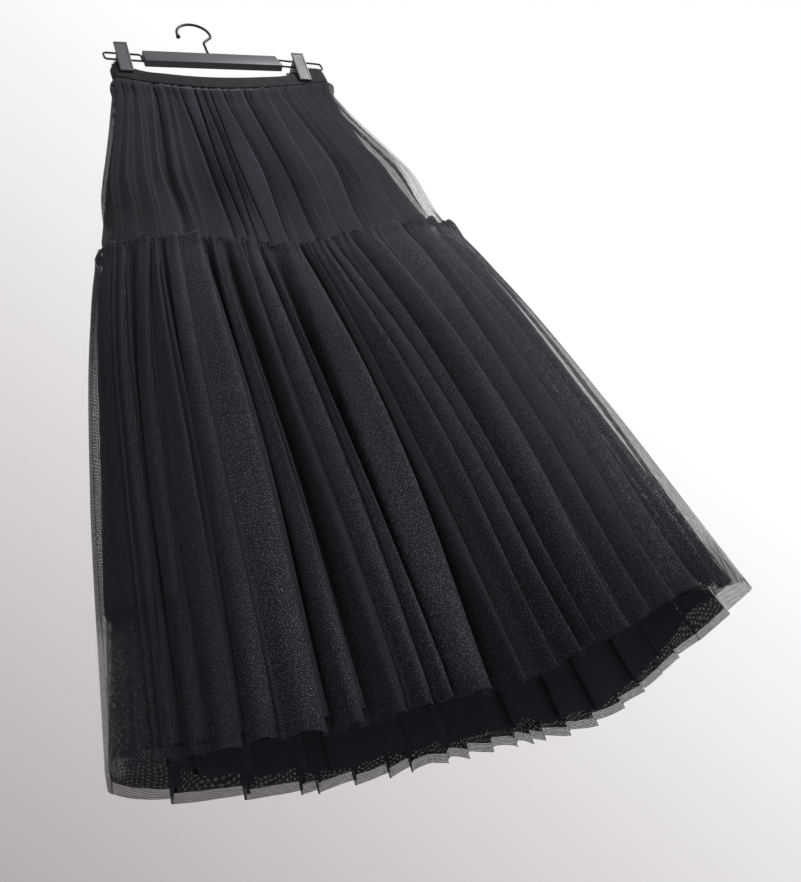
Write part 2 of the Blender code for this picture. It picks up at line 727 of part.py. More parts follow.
def make_plate(clip, facing, group):
    """One jaw of a clip: a leaning plate with a raised rim."""
    label = "front" if facing < 0 else "back"

    def build(shape):
        bmesh.ops.create_cube(shape, size=1.0)
        size = (PLATE_WIDTH, PLATE_THICKNESS, PLATE_HEIGHT)
        bmesh.ops.scale(shape, vec=size, verts=shape.verts)
        lift = (0.0, 0.5 * PLATE_THICKNESS * facing, 0.5 * PLATE_HEIGHT)
        bmesh.ops.translate(shape, vec=lift, verts=shape.verts)
        edges = list(shape.edges)
        bmesh.ops.bevel(shape, geom=edges, offset=PLATE_BEVEL, segments=1, affect="EDGES", profile=0.5)
        outer = max(shape.faces, key=lambda face: face.normal.y * facing * face.calc_area())
        bmesh.ops.inset_region(shape, faces=[outer], thickness=PLATE_RIM, depth=0.0)
        sunk = (0.0, -facing * PLATE_RIM_DEPTH, 0.0)
        bmesh.ops.translate(shape, vec=sunk, verts=list(outer.verts))

    plate = add_mesh(f"clip_{label}_{clip.rail.name}", build, group, "black_plastic")
    plate.location = (clip.x, facing * LIP_HALF_DEPTH, clip.lip_z)
    plate.rotation_euler = (-facing * PLATE_LEAN, 0.0, 0.0)
    shade(plate, 30)


def make_block(clip, low_wire_z, group):
    """The block between a clip's plates, sloped to lie against them."""

    def build(shape):
        bmesh.ops.create_cube(shape, size=1.0)
        for vert in shape.verts:
            height = low_wire_z + vert.co.z * BLOCK_HEIGHT
            slope = (height - clip.lip_z) * math.tan(PLATE_LEAN)
            half_depth = LIP_HALF_DEPTH + slope - GAP / math.cos(PLATE_LEAN)
            side = 1 if vert.co.y > 0 else -1
            vert.co = (clip.x + vert.co.x * BLOCK_WIDTH, side * half_depth, height)

    return add_mesh(f"clip_block_{clip.rail.name}", build, group, "black_plastic")


def make_clip(clip, group, cutters):
    """A clip: a block on the lower wire, two leaning plates and a coiled spring."""
    for facing in (FRONT, BACK):
        make_plate(clip, facing, group)
    low_wire_z = rail_z(clip.rail, clip.x) - 0.5 * RAIL_SPACING
    block = make_block(clip, low_wire_z, group)
    tilt = -math.atan(clip.rail.slope) * clip.rail.direction
    place = (clip.x, 0.0, low_wire_z)
    radius = WIRE_RADIUS + BORE_CLEARANCE
    name = f"bore_clip_{clip.rail.name}"
    cut(block, [add_bore(name, radius, 2 * BLOCK_WIDTH, place, "X", cutters, tilt)])

    def coil(shape):
        size = {"radius1": SPRING_RADIUS, "radius2": SPRING_RADIUS, "depth": SPRING_LENGTH}
        bmesh.ops.create_cone(shape, cap_ends=True, segments=12, **size)
        quarter = Matrix.Rotation(math.pi / 2, 3, "Y")
        bmesh.ops.rotate(shape, verts=shape.verts, matrix=quarter)

    spring = add_mesh(f"clip_spring_{clip.rail.name}", coil, group, "steel")
    spring_z = low_wire_z - 0.5 * BLOCK_HEIGHT - GAP - SPRING_RADIUS
    spring.location = (clip.x, 0.0, spring_z)
    shade(spring, 30)


def main():
    """Build the skirt and its hanger."""
    clear_scene()
    group = new_collection(COLLECTION)
    cutters = new_collection("cutters")
    make_waistband(group)
    make_cloth(group)
    make_bar(group, cutters)
    make_hook(group)
    for rail in (LEFT_RAIL, RIGHT_RAIL):
        add_wire(f"rail_{rail.name}", rail_route(rail), WIRE_RADIUS, group, "dark_wire")
    for clip in CLIPS:
        make_clip(clip, group, cutters)


main()
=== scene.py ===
# %% [markdown]
# # A two-tier tulle skirt on its clip hanger
# The solids of the skirt and the hanger come in as a fixed frame. Each cell below dresses one
# part of it: the net, the lining, the elastic waist, and the moulded and bent pieces of the
# hanger. Lengths are in metres, +Z is up, and -Y is the front of the skirt.

import math
from collections import namedtuple
from functools import partial
from types import SimpleNamespace

import bmesh
import bpy
import numpy as np
from mathutils import Matrix, Vector


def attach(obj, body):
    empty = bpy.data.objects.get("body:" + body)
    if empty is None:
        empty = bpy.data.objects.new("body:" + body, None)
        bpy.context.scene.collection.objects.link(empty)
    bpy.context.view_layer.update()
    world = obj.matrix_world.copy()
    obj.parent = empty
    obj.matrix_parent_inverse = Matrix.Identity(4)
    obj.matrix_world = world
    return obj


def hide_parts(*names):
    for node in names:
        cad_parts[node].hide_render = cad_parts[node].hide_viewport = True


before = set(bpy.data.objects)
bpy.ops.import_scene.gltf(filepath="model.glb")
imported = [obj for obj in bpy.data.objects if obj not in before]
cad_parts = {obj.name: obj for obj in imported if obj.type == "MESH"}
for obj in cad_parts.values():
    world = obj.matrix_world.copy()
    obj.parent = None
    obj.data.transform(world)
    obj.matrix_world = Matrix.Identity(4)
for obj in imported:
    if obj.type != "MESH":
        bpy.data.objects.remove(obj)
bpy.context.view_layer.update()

# %% [markdown]
# The camera stands low, in front of the skirt's left side, and looks up along it with its
# head tilted. A lens is easiest to reason about as a focal length in pixels, so the sensor's
# 36 mm are shared over the long side of the picture. The three turns give the camera's own
# right, up and forward directions, which are the columns of its matrix.

# %% Camera
PICTURE_LONG_SIDE = 882
FOCAL_PIXELS = 1000.0
SENSOR = 36.0
CAMERA_PLACE = (-0.41484, -0.79070, -1.22034)
CAMERA_YAW = 0.522442
CAMERA_PITCH = 0.504072
CAMERA_ROLL = -0.414651


def camera_axes(yaw, pitch, roll):
    """Right, up and forward of a camera that turns by yaw, looks up by pitch and then rolls."""
    forward = Vector((math.sin(yaw) * math.cos(pitch), math.cos(yaw) * math.cos(pitch), math.sin(pitch)))
    level = Vector((math.cos(yaw), -math.sin(yaw), 0.0))
    above = level.cross(forward)
    right = math.cos(roll) * level + math.sin(roll) * above
    up = -math.sin(roll) * level + math.cos(roll) * above
    return right, up, forward


view_right, view_up, view_forward = camera_axes(CAMERA_YAW, CAMERA_PITCH, CAMERA_ROLL)
lens = bpy.data.cameras.new("view_from_below")
lens.sensor_width = SENSOR
lens.lens = FOCAL_PIXELS / PICTURE_LONG_SIDE * SENSOR
lens.clip_start = 0.05
lens.clip_end = 40.0
camera = bpy.data.objects.new("view_from_below", lens)
bpy.context.scene.collection.objects.link(camera)
turn = Matrix((view_right, view_up, -view_forward)).transposed().to_4x4()
camera.matrix_world = Matrix.Translation(CAMERA_PLACE) @ turn
bpy.context.scene.camera = camera
print("camera lens:", round(lens.lens, 2), "mm")

# %% [markdown]
# Every look below is a tree of shader nodes, so a few short functions add the nodes that the
# world needs first and every material after it. An input that is given a socket is linked, and
# any other is set.

# %% Shader helpers
def feed(tree, made, feeds):
    """Link each input that is given a socket, and set each that is given a value."""
    for name, value in feeds.items():
        if isinstance(value, bpy.types.NodeSocket):
            tree.links.new(value, made.inputs[name])
        else:
            made.inputs[name].default_value = value


def node(tree, kind, settings=None, feeds=None):
    """Add a shader node, with its settings and its inputs."""
    made = tree.nodes.new(kind)
    for name, value in (settings or {}).items():
        setattr(made, name, value)
    feed(tree, made, feeds or {})
    return made


def maths(tree, operation, first, second=0.0, third=0.0, clamp=False):
    """The output of a Math node."""
    settings = {"operation": operation, "use_clamp": clamp}
    return node(tree, "ShaderNodeMath", settings, {0: first, 1: second, 2: third}).outputs[0]


def vector_maths(tree, operation, *vectors):
    """The outputs of a Vector Math node."""
    return node(tree, "ShaderNodeVectorMath", {"operation": operation}, dict(enumerate(vectors))).outputs


def dot(tree, vector, direction):
    """The part of a vector that lies along a direction."""
    return vector_maths(tree, "DOT_PRODUCT", vector, tuple(direction))["Value"]


def mix_colour(tree, factor, first, second):
    """A colour between two others, each a socket or three numbers."""
    first, second = ((*colour, 1.0) if isinstance(colour, tuple) else colour for colour in (first, second))
    return node(tree, "ShaderNodeMix", {"data_type": "RGBA"}, {0: factor, 6: first, 7: second}).outputs[2]


print("shader helpers ready")

# %% [markdown]
# Black net on a white ground needs a plain tone curve, or the whites turn grey and the blacks
# lift. The world is seen by the camera as a pale, slightly graded backdrop, and it lights the
# cloth more softly, with less light from below. One large lamp stands in front on the right
# and above, as a softbox would, so that every flute has a lit edge and a shaded side. A weak
# one on the left fills the shade a little.

# %% World and lamps
BACKDROP_BRIGHTNESS = 0.87
BACKDROP_UP = 0.64
BACKDROP_RIGHT = 0.50
BACKDROP_DARKEST = 0.45
BACKDROP_SHADE = (1.0, 0.85, 0.91)
BACKDROP_LIGHT = (1.0, 1.0, 1.0)
SKY_BRIGHTNESS = 0.30
SKY_UP = 0.28
SKY_COLOUR = (0.94, 0.945, 1.0, 1.0)
AIM = (0.02, 0.0, -0.50)
Softbox = namedtuple("Softbox", "name place watts size")
KEY = Softbox("key_softbox", (1.55, -1.75, 1.05), 74.0, 1.1)
FILL = Softbox("fill_softbox", (-2.2, -1.6, 0.3), 12.0, 1.8)

bpy.context.scene.view_settings.view_transform = "Standard"


def make_world():
    """A pale graded backdrop for the camera, and a soft sky for everything else."""
    world = bpy.data.worlds.new("pale_room")
    world.use_nodes = True
    bpy.context.scene.world = world
    tree = world.node_tree
    tree.nodes.clear()
    direction = node(tree, "ShaderNodeTexCoord").outputs["Generated"]
    high = maths(tree, "MULTIPLY_ADD", dot(tree, direction, view_up), BACKDROP_UP, BACKDROP_BRIGHTNESS)
    backdrop = maths(tree, "MULTIPLY_ADD", dot(tree, direction, view_right), BACKDROP_RIGHT, high)
    backdrop = maths(tree, "MINIMUM", maths(tree, "MAXIMUM", backdrop, BACKDROP_DARKEST), 1.0)
    tint = mix_colour(tree, backdrop, BACKDROP_SHADE, BACKDROP_LIGHT)
    seen = node(tree, "ShaderNodeBackground", None, {"Color": tint, "Strength": backdrop})
    sky = maths(tree, "MULTIPLY_ADD", dot(tree, direction, (0.0, 0.0, 1.0)), SKY_UP, SKY_BRIGHTNESS)
    lit = node(tree, "ShaderNodeBackground", None, {"Color": SKY_COLOUR, "Strength": sky})
    camera_ray = node(tree, "ShaderNodeLightPath").outputs["Is Camera Ray"]
    shown = node(tree, "ShaderNodeMixShader", None, {0: camera_ray, 1: lit.outputs[0], 2: seen.outputs[0]})
    node(tree, "ShaderNodeOutputWorld", None, {"Surface": shown.outputs[0]})


def make_softbox(softbox):
    """A square lamp that looks at the middle of the skirt."""
    lamp = bpy.data.lights.new(softbox.name, "AREA")
    lamp.energy = softbox.watts
    lamp.size = softbox.size
    holder = bpy.data.objects.new(softbox.name, lamp)
    bpy.context.scene.collection.objects.link(holder)
    holder.location = softbox.place
    holder.rotation_euler = (Vector(AIM) - Vector(softbox.place)).to_track_quat("-Z", "Y").to_euler()


make_world()
for softbox in (KEY, FILL):
    make_softbox(softbox)
    print(softbox.name, softbox.watts, "watts")

# %% [markdown]
# A pale round floor lies well below the hem. Every mesh here is shaped as a bmesh and then
# handed to an object by one function, which also gives it its material and its smooth shading.

# %% Floor
FLOOR_Z = -2.60
FLOOR_RADIUS = 3.0
FLOOR_COLOUR = (0.62, 0.61, 0.62, 1.0)
FLOOR_ROUGHNESS = 0.85


def new_material(name):
    """A material with an empty Principled shader, and its node tree."""
    made = bpy.data.materials.new(name)
    made.use_nodes = True
    return made, made.node_tree, made.node_tree.nodes["Principled BSDF"]


def finish_mesh(name, shape, finish, angle=None):
    """Turn a bmesh into a smooth-shaded object, with edges sharper than angle kept."""
    mesh = bpy.data.meshes.new(name)
    shape.to_mesh(mesh)
    shape.free()
    mesh.shade_smooth()
    if angle is not None:
        mesh.set_sharp_from_angle(angle=math.radians(angle))
    mesh.materials.append(finish)
    piece = bpy.data.objects.new(name, mesh)
    bpy.context.scene.collection.objects.link(piece)
    return piece


def make_floor():
    """A pale round floor, well below the hem."""
    paint, tree, shader = new_material("pale_floor")
    feed(tree, shader, {"Base Color": FLOOR_COLOUR, "Roughness": FLOOR_ROUGHNESS})
    shape = bmesh.new()
    bmesh.ops.create_circle(shape, cap_ends=True, segments=96, radius=FLOOR_RADIUS)
    bmesh.ops.translate(shape, verts=shape.verts, vec=(0.0, 0.0, FLOOR_Z))
    finish_mesh("floor", shape, paint)


make_floor()
print("floor at", FLOOR_Z)

# %% [markdown]
# Tulle is a net of fine twisted threads with hexagonal holes. Its holes are about a
# millimetre wide, far too many to model, so a shader group draws them: three sets of waves at
# 60 degrees add up to a lattice of peaks, and each peak is a hole. The net reads the cloth's
# own UV map, which is in metres of cut cloth, so the holes follow every fold. A slow noise
# pulls the threads about a little, as in real net. A finer one, stretched along the cloth,
# bunches them into the short wavy marks that tulle shows where it lies over more tulle.

# %% Shader group: hexagonal net
PULL_SCALE = 14.0
PULL_REACH = 0.010
WAVE_TURNS = (0, 60, 120)
MARK_SCALE = (150.0, 760.0, 1.0)
NET_EDGE = 0.35
RELIEF_EDGE = 1.5


def new_group(name, inputs, outputs):
    """A shader group that reads the cloth's vector and some numbers, and gives numbers."""
    tree = bpy.data.node_groups.new(name, "ShaderNodeTree")
    tree.interface.new_socket("Cloth", in_out="INPUT", socket_type="NodeSocketVector")
    for labels, direction in ((inputs, "INPUT"), (outputs, "OUTPUT")):
        for label in labels:
            tree.interface.new_socket(label, in_out=direction, socket_type="NodeSocketFloat")
    return tree, tree.nodes.new("NodeGroupInput").outputs, tree.nodes.new("NodeGroupOutput").inputs


def noise(tree, vector, scale, detail=2.0):
    """A noise pattern's value, from 0 to 1."""
    feeds = {"Vector": vector, "Scale": scale, "Detail": detail}
    return node(tree, "ShaderNodeTexNoise", None, feeds).outputs["Fac"]


def stretched(tree, vector, scale):
    """A vector with its axes scaled."""
    return vector_maths(tree, "MULTIPLY", vector, scale)["Vector"]


def remap(tree, value, low, high, out_low=0.0, out_high=1.0):
    """A value stretched from one range to another, and held inside it."""
    feeds = {0: value, 1: low, 2: high, 3: out_low, 4: out_high}
    return node(tree, "ShaderNodeMapRange", {"clamp": True}, feeds).outputs[0]


def make_net_group():
    """Cover is 1 on a thread and 0 in a hole. Openness moves the edge between them."""
    tree, given, out = new_group("hexagonal net", ("Pitch", "Openness", "Marks"), ("Cover", "Relief"))
    feeds = {"Vector": given["Cloth"], "Scale": PULL_SCALE, "Detail": 1.0}
    pull = node(tree, "ShaderNodeTexNoise", None, feeds).outputs["Color"]
    pull = vector_maths(tree, "SUBTRACT", pull, (0.5, 0.5, 0.5))["Vector"]
    reach = (PULL_REACH, PULL_REACH, 0.0)
    pulled = vector_maths(tree, "MULTIPLY_ADD", pull, reach, given["Cloth"])["Vector"]
    frequency = maths(tree, "DIVIDE", 2 * math.pi, given["Pitch"])
    total = 0.0
    for degrees in WAVE_TURNS:
        angle = math.radians(degrees)
        along = dot(tree, pulled, (math.cos(angle), math.sin(angle), 0.0))
        wave = maths(tree, "COSINE", maths(tree, "MULTIPLY", along, frequency))
        total = maths(tree, "ADD", total, wave)
    marks = maths(tree, "SUBTRACT", noise(tree, stretched(tree, pulled, MARK_SCALE), 1.0), 0.5)
    marks = maths(tree, "MULTIPLY", marks, given["Marks"])
    above = maths(tree, "ADD", maths(tree, "SUBTRACT", total, given["Openness"]), marks)
    tree.links.new(remap(tree, above, -NET_EDGE, NET_EDGE, 1.0, 0.0), out["Cover"])
    tree.links.new(remap(tree, total, -RELIEF_EDGE, RELIEF_EDGE, 1.0, 0.0), out["Relief"])
    return tree


net_group = make_net_group()
print("made group:", net_group.name)

# %% [markdown]
# The second group is the sparkle of the threads, painted into their colour. Nylon filament is
# round and shiny, so here and there a thread turns its side to the light and glints, and these
# glints are painted highlights. Fine noise, cut off so that only its highest tips stay, gives
# those specks, and a slower noise gives the soft patches where the net lies denser.

# %% Shader group: painted filament glints
SPECK_LOW = 0.70
SPECK_HIGH = 0.72
PATCH_SCALE = 22.0


def make_painted_glint_group():
    """The first output is a mask of fine specks, the painted glints, and Patch is a slow unevenness round
    0.5.
    """
    tree, given, out = new_group("filament glints", ("Size", "Amount"), ("Glint", "Patch"))
    specks = noise(tree, given["Cloth"], maths(tree, "DIVIDE", 1.0, given["Size"]))
    low = maths(tree, "SUBTRACT", SPECK_LOW, given["Amount"])
    tree.links.new(remap(tree, specks, low, SPECK_HIGH), out["Glint"])
    tree.links.new(noise(tree, given["Cloth"], PATCH_SCALE, 3.0), out["Patch"])
    return tree


painted_glint_group = make_painted_glint_group()
print("made group:", painted_glint_group.name)

# %% [markdown]
# Every net material is the same recipe with its own row of numbers: how far the holes are
# closed, how the net is turned, and how bright its painted glints, its sheen and its painted
# light are. Two point attributes steer it. Gather says where the cloth is drawn together, which
# closes the holes, or stands single, which widens them. Crest is the light and shade painted
# into the threads' colour: how much of the light a flute would catch. Seen at a glancing angle
# a net closes up, and its colour there is painted lighter too. From inside it is only a dark
# veil, painted in one tone for the dim light in there, so the material reads its facing too.

# %% Net materials
NET_PITCH = 0.0014
# The threads' colour in painted shade and in painted light, on the inside, where the dim light is painted as
# one tone, and in a painted glint.
NET_IN_PAINTED_SHADE = (0.0140, 0.0133, 0.0180)
NET_IN_PAINTED_LIGHT = (0.0192, 0.0181, 0.0248)
NET_INSIDE_PAINTED_TONE = (0.0410, 0.0395, 0.0490)
NET_PAINTED_GLINT = (0.3300, 0.3200, 0.3650)
OPEN_NET = -0.35
CLOSED_NET = 1.35
DRAWN_NET = CLOSED_NET + 0.6
WIDE_NET = 0.55
# At a glancing angle the net closes up, and its colour there is painted lighter.
GLANCING = 1.1
GLANCING_POWER = 3.0
GLANCING_PAINTED_LIGHT = 0.25
# The painted glints: their size and amount, how much of them stays in painted shade, and how much glossier
# they are.
PAINTED_GLINT_SIZE = 0.0010
PAINTED_GLINT_AMOUNT = 0.12
GLINT_IN_PAINTED_SHADE = 0.25
PATCH_TONES = (0.30, 0.70, 0.75, 1.0)
PAINTED_GLINT_GLOSS = (0.0, 0.6, 0.75, 0.42)
NET_BUMP = (0.5, 0.0003)
NET_SHEEN = {"Sheen Roughness": 0.32, "Sheen Tint": (0.74, 0.73, 0.88, 1.0), "Specular IOR Level": 0.15}

# Closing is 0 for a net whose holes are wide, and higher as they close. Glint is how bright
# its painted glints are, light multiplies the threads' colour in painted light, and marks are
# the short wavy marks of net over net.
Ply = namedtuple("Ply", "closing turn glint sheen light marks")
PLIES = {
    "outer_net_front": Ply(0.10, 0, 1.6, 0.05, 1.0, 2.4),
    "second_net_front": Ply(0.25, 20, 0.5, 0.03, 1.0, 2.4),
    "under_net_front": Ply(2.60, 40, 0.1, 0.02, 1.0, 0.6),
    "upper_net_front": Ply(0.22, 4, 0.4, 0.05, 2.5, 1.6),
    "outer_net_back": Ply(0.10, 30, 1.6, 0.05, 1.0, 3.4),
    "second_net_back": Ply(1.60, 50, 0.5, 0.03, 1.0, 3.4),
    "under_net_back": Ply(2.60, 70, 0.1, 0.02, 1.0, 0.6),
    "upper_net_back": Ply(0.22, 34, 0.4, 0.05, 2.5, 1.6),
    "frill_net": Ply(0.60, 31, 0.25, 0.05, 1.0, 2.4),
}


def cloth_vector(tree, turn=0.0):
    """The cloth's UV map in metres, turned, and shifted with the turn."""
    cloth = node(tree, "ShaderNodeUVMap", {"uv_map": "cloth"}).outputs["UV"]
    shift = (0.01 * turn, 0.003 * turn, 0.0)
    feeds = {"Vector": cloth, "Rotation": (0.0, 0.0, math.radians(turn)), "Location": shift}
    return node(tree, "ShaderNodeMapping", {"vector_type": "POINT"}, feeds).outputs[0]


def point_value(tree, name):
    """A point attribute of the cloth."""
    return node(tree, "ShaderNodeAttribute", {"attribute_name": name}).outputs["Fac"]


def bump(tree, height, strength, distance):
    """Normals that are tilted by a pattern of heights."""
    feeds = {"Height": height, "Strength": strength, "Distance": distance}
    return node(tree, "ShaderNodeBump", None, feeds).outputs[0]


def make_net(name, ply):
    """The material of one ply of net, with light, shade and glints painted into its colour."""
    made, tree, shader = new_material(name)
    cloth = cloth_vector(tree, ply.turn)
    gather = point_value(tree, "gather")
    crest = point_value(tree, "crest")
    facing = node(tree, "ShaderNodeLayerWeight", None, {"Blend": 0.5}).outputs["Facing"]
    glancing = maths(tree, "POWER", facing, GLANCING_POWER)
    inside = node(tree, "ShaderNodeNewGeometry").outputs["Backfacing"]
    outside = maths(tree, "SUBTRACT", 1.0, inside)

    loose = OPEN_NET + (CLOSED_NET - OPEN_NET) * ply.closing
    drawn = maths(tree, "MAXIMUM", gather, 0.0)
    single = maths(tree, "MINIMUM", gather, 0.0)
    edge = maths(tree, "MULTIPLY_ADD", drawn, DRAWN_NET - loose, loose)
    edge = maths(tree, "MULTIPLY_ADD", single, WIDE_NET, edge)
    shutting = maths(tree, "MULTIPLY", glancing, maths(tree, "ADD", single, 1.0, clamp=True))
    edge = maths(tree, "MULTIPLY_ADD", shutting, GLANCING, edge)
    feeds = {"Cloth": cloth, "Pitch": NET_PITCH, "Openness": edge, "Marks": ply.marks}
    net = node(tree, "ShaderNodeGroup", {"node_tree": net_group}, feeds).outputs
    feeds = {"Cloth": cloth, "Size": PAINTED_GLINT_SIZE, "Amount": PAINTED_GLINT_AMOUNT}
    specks = node(tree, "ShaderNodeGroup", {"node_tree": painted_glint_group}, feeds).outputs

    # Painted light and shade: the crest attribute times the patches, painted lighter at a glancing angle, and
    # none on the inside, which takes its own painted tone.
    tone = maths(tree, "MULTIPLY", crest, remap(tree, specks["Patch"], *PATCH_TONES))
    tone = maths(tree, "MULTIPLY_ADD", glancing, GLANCING_PAINTED_LIGHT, tone)
    tone = maths(tree, "MULTIPLY", tone, outside)
    thread = mix_colour(tree, tone, NET_IN_PAINTED_SHADE, tuple(ply.light * value for value in NET_IN_PAINTED_LIGHT))
    thread = mix_colour(tree, inside, thread, NET_INSIDE_PAINTED_TONE)
    # Painted glints: weaker in the painted shade, and none on the inside.
    painted_light_on_glints = maths(tree, "MULTIPLY_ADD", crest, 1 - GLINT_IN_PAINTED_SHADE, GLINT_IN_PAINTED_SHADE)
    glint = maths(tree, "MULTIPLY", maths(tree, "MULTIPLY", specks["Glint"], outside), painted_light_on_glints)
    glint = maths(tree, "MULTIPLY", glint, ply.glint)
    feeds = {
        "Base Color": mix_colour(tree, glint, thread, NET_PAINTED_GLINT),
        "Alpha": net["Cover"],
        "Roughness": remap(tree, glint, *PAINTED_GLINT_GLOSS),
        "Normal": bump(tree, net["Relief"], *NET_BUMP),
        "Sheen Weight": ply.sheen,
        **NET_SHEEN,
    }
    feed(tree, shader, feeds)
    return made


nets = {name: make_net(name, ply) for name, ply in PLIES.items()}
print("net materials:", *nets)

# %% [markdown]
# The lining is a smooth, matt, opaque cloth. Its weave is too fine to see, so it only needs a
# faint over-and-under of warp and weft in the bump, and a slow change of tone. The elastic of
# the waist shows fine ribs along its length and small puckers across it.

# %% Lining and elastic materials
LINING_DARK = (0.0075, 0.0075, 0.0090)
LINING_LIGHT = (0.0120, 0.0118, 0.0140)
WEAVE_PITCH = 0.0007
BAND_DARK = (0.0052, 0.0050, 0.0068)
BAND_LIGHT = (0.0140, 0.0134, 0.0176)
RIB_PITCH = 0.0011
THREAD_PITCH = 0.0006


def stripes(tree, vector, direction, pitch):
    """Even waves along a direction, from 0 to 1."""
    along = dot(tree, vector, direction)
    wave = maths(tree, "SINE", maths(tree, "MULTIPLY", along, 2 * math.pi / pitch))
    return maths(tree, "MULTIPLY_ADD", wave, 0.5, 0.5)


def make_lining():
    """Plain weave: warp and weft waves multiplied into a fine bump."""
    made, tree, shader = new_material("matt_lining")
    cloth = cloth_vector(tree)
    warp = stripes(tree, cloth, (1.0, 0.0, 0.0), WEAVE_PITCH)
    weft = stripes(tree, cloth, (0.0, 1.0, 0.0), WEAVE_PITCH)
    tone = noise(tree, cloth, 30.0, 3.0)
    feeds = {
        "Base Color": mix_colour(tree, tone, LINING_DARK, LINING_LIGHT),
        "Roughness": remap(tree, tone, 0.2, 0.8, 0.82, 0.68),
        "Normal": bump(tree, maths(tree, "MULTIPLY", warp, weft), 0.35, 0.0002),
        "Sheen Weight": 0.06,
        "Sheen Roughness": 0.4,
    }
    feed(tree, shader, feeds)
    return made


def make_elastic():
    """Ribs round the band, crossed by fine threads."""
    made, tree, shader = new_material("covered_elastic")
    cloth = cloth_vector(tree)
    ribs = stripes(tree, cloth, (0.0, 1.0, 0.0), RIB_PITCH)
    threads = stripes(tree, cloth, (1.0, 0.0, 0.0), THREAD_PITCH)
    tone = noise(tree, cloth, 90.0, 3.0)
    shade = maths(tree, "MULTIPLY_ADD", ribs, 0.35, maths(tree, "MULTIPLY", tone, 0.65))
    feeds = {
        "Base Color": mix_colour(tree, shade, BAND_DARK, BAND_LIGHT),
        "Roughness": remap(tree, tone, 0.2, 0.8, 0.85, 0.66),
        "Normal": bump(tree, maths(tree, "MULTIPLY_ADD", threads, 0.4, ribs), 0.5, 0.0003),
        "Sheen Weight": 0.08,
        "Sheen Roughness": 0.35,
        "Specular IOR Level": 0.25,
    }
    feed(tree, shader, feeds)
    return made


lining_cloth = make_lining()
elastic_cloth = make_elastic()
print("lining and elastic materials ready")

# %% [markdown]
# The skirt is a set of rings. A level is the outline of a seam or hem seen from above, and a
# tier hangs between two of them. These sizes are those of the skirt's solids, so that each
# sheet of net hangs where its solid does. The squareness makes the ring fuller than an
# ellipse at its sides, and the swells let the right side stand further out.

# %% Levels
SKIRT_X = 0.017
CORNER_Z = -0.0993
FRONT = -1
BACK = 1
Level = namedtuple(
    "Level",
    "half_width centre_x front_depth back_depth seam_y front_swell back_swell squareness side_z mid_drop",
)
SEAM = Level(0.2253, -0.006, 0.060, 0.060, 0.009, 0.10, 0.00, 0.80, CORNER_Z - 0.3276, 0.030)
HEM = Level(0.3292, -0.0036, 0.101, 0.104, 0.024, 0.40, 0.15, 0.75, CORNER_Z - 0.8729, 0.040)
OUTLINE_STEPS = 900


def level_outline(level, side, width_inset, depth_inset):
    """Half of a level's outline, from the left side seam to the right one."""
    turn = np.linspace(math.pi, 0.0, OUTLINE_STEPS)
    cosine = np.cos(turn)
    along = np.sign(cosine) * np.abs(cosine) ** level.squareness
    reach = np.abs(np.sin(turn)) ** level.squareness
    depth = level.front_depth if side == FRONT else level.back_depth
    swell = level.front_swell if side == FRONT else level.back_swell
    x = level.centre_x + (level.half_width - width_inset) * along
    return x, level.seam_y + side * (depth - depth_inset) * reach * (1 + swell * along)


def level_height(level, x):
    """Height of a seam or hem line, lower at mid front than at the side seams."""
    along = np.clip((x - level.centre_x) / level.half_width, -1, 1)
    return level.side_z - level.mid_drop * (1 - along**2)


print("seam ring is", round(2 * SEAM.half_width, 3), "m wide, hem ring", round(2 * HEM.half_width, 3))

# %% [markdown]
# The elastic waist is held at the clips and sags between them, so its upper and lower edges and
# its depth are read from a short table along its length. A smooth curve runs through the rows,
# and the two ends of the flattened loop are rounded.

# %% Outline of the waistband
BandPoint = namedtuple("BandPoint", "x top foot half_depth")
BAND = (
    BandPoint(-0.1470, -0.007, -0.0275, 0.0066),
    BandPoint(-0.1380, 0.003, -0.0285, 0.0070),
    BandPoint(-0.1320, 0.005, -0.0300, 0.0070),
    BandPoint(-0.1200, -0.008, -0.0330, 0.0070),
    BandPoint(-0.1050, -0.016, -0.0375, 0.0078),
    BandPoint(-0.0850, -0.022, -0.0430, 0.0100),
    BandPoint(-0.0460, -0.029, -0.0505, 0.0120),
    BandPoint(0.0000, -0.030, -0.0515, 0.0124),
    BandPoint(0.0460, -0.025, -0.0460, 0.0112),
    BandPoint(0.0850, -0.016, -0.0370, 0.0084),
    BandPoint(0.1010, -0.009, -0.0330, 0.0072),
    BandPoint(0.1200, 0.000, -0.0285, 0.0070),
    BandPoint(0.1380, 0.003, -0.0260, 0.0074),
    BandPoint(0.1470, -0.003, -0.0255, 0.0066),
)
BAND_END_RADIUS = 0.0066


def smooth_through(places, values, at):
    """A smooth curve through some values, read at the given places."""
    places = np.asarray(places, float)
    values = np.asarray(values, float)
    slopes = np.gradient(values, places)
    index = np.clip(np.searchsorted(places, at) - 1, 0, len(places) - 2)
    span = places[index + 1] - places[index]
    part = np.clip((at - places[index]) / span, 0.0, 1.0)
    start = (1 + 2 * part) * (1 - part) ** 2 * values[index]
    start_slope = part * (1 - part) ** 2 * span * slopes[index]
    end = part**2 * (3 - 2 * part) * values[index + 1]
    end_slope = part**2 * (part - 1) * span * slopes[index + 1]
    return start + start_slope + end + end_slope


def band_column(column, x):
    """Read a column of the waistband's table at x."""
    return smooth_through([row.x for row in BAND], [getattr(row, column) for row in BAND], x)


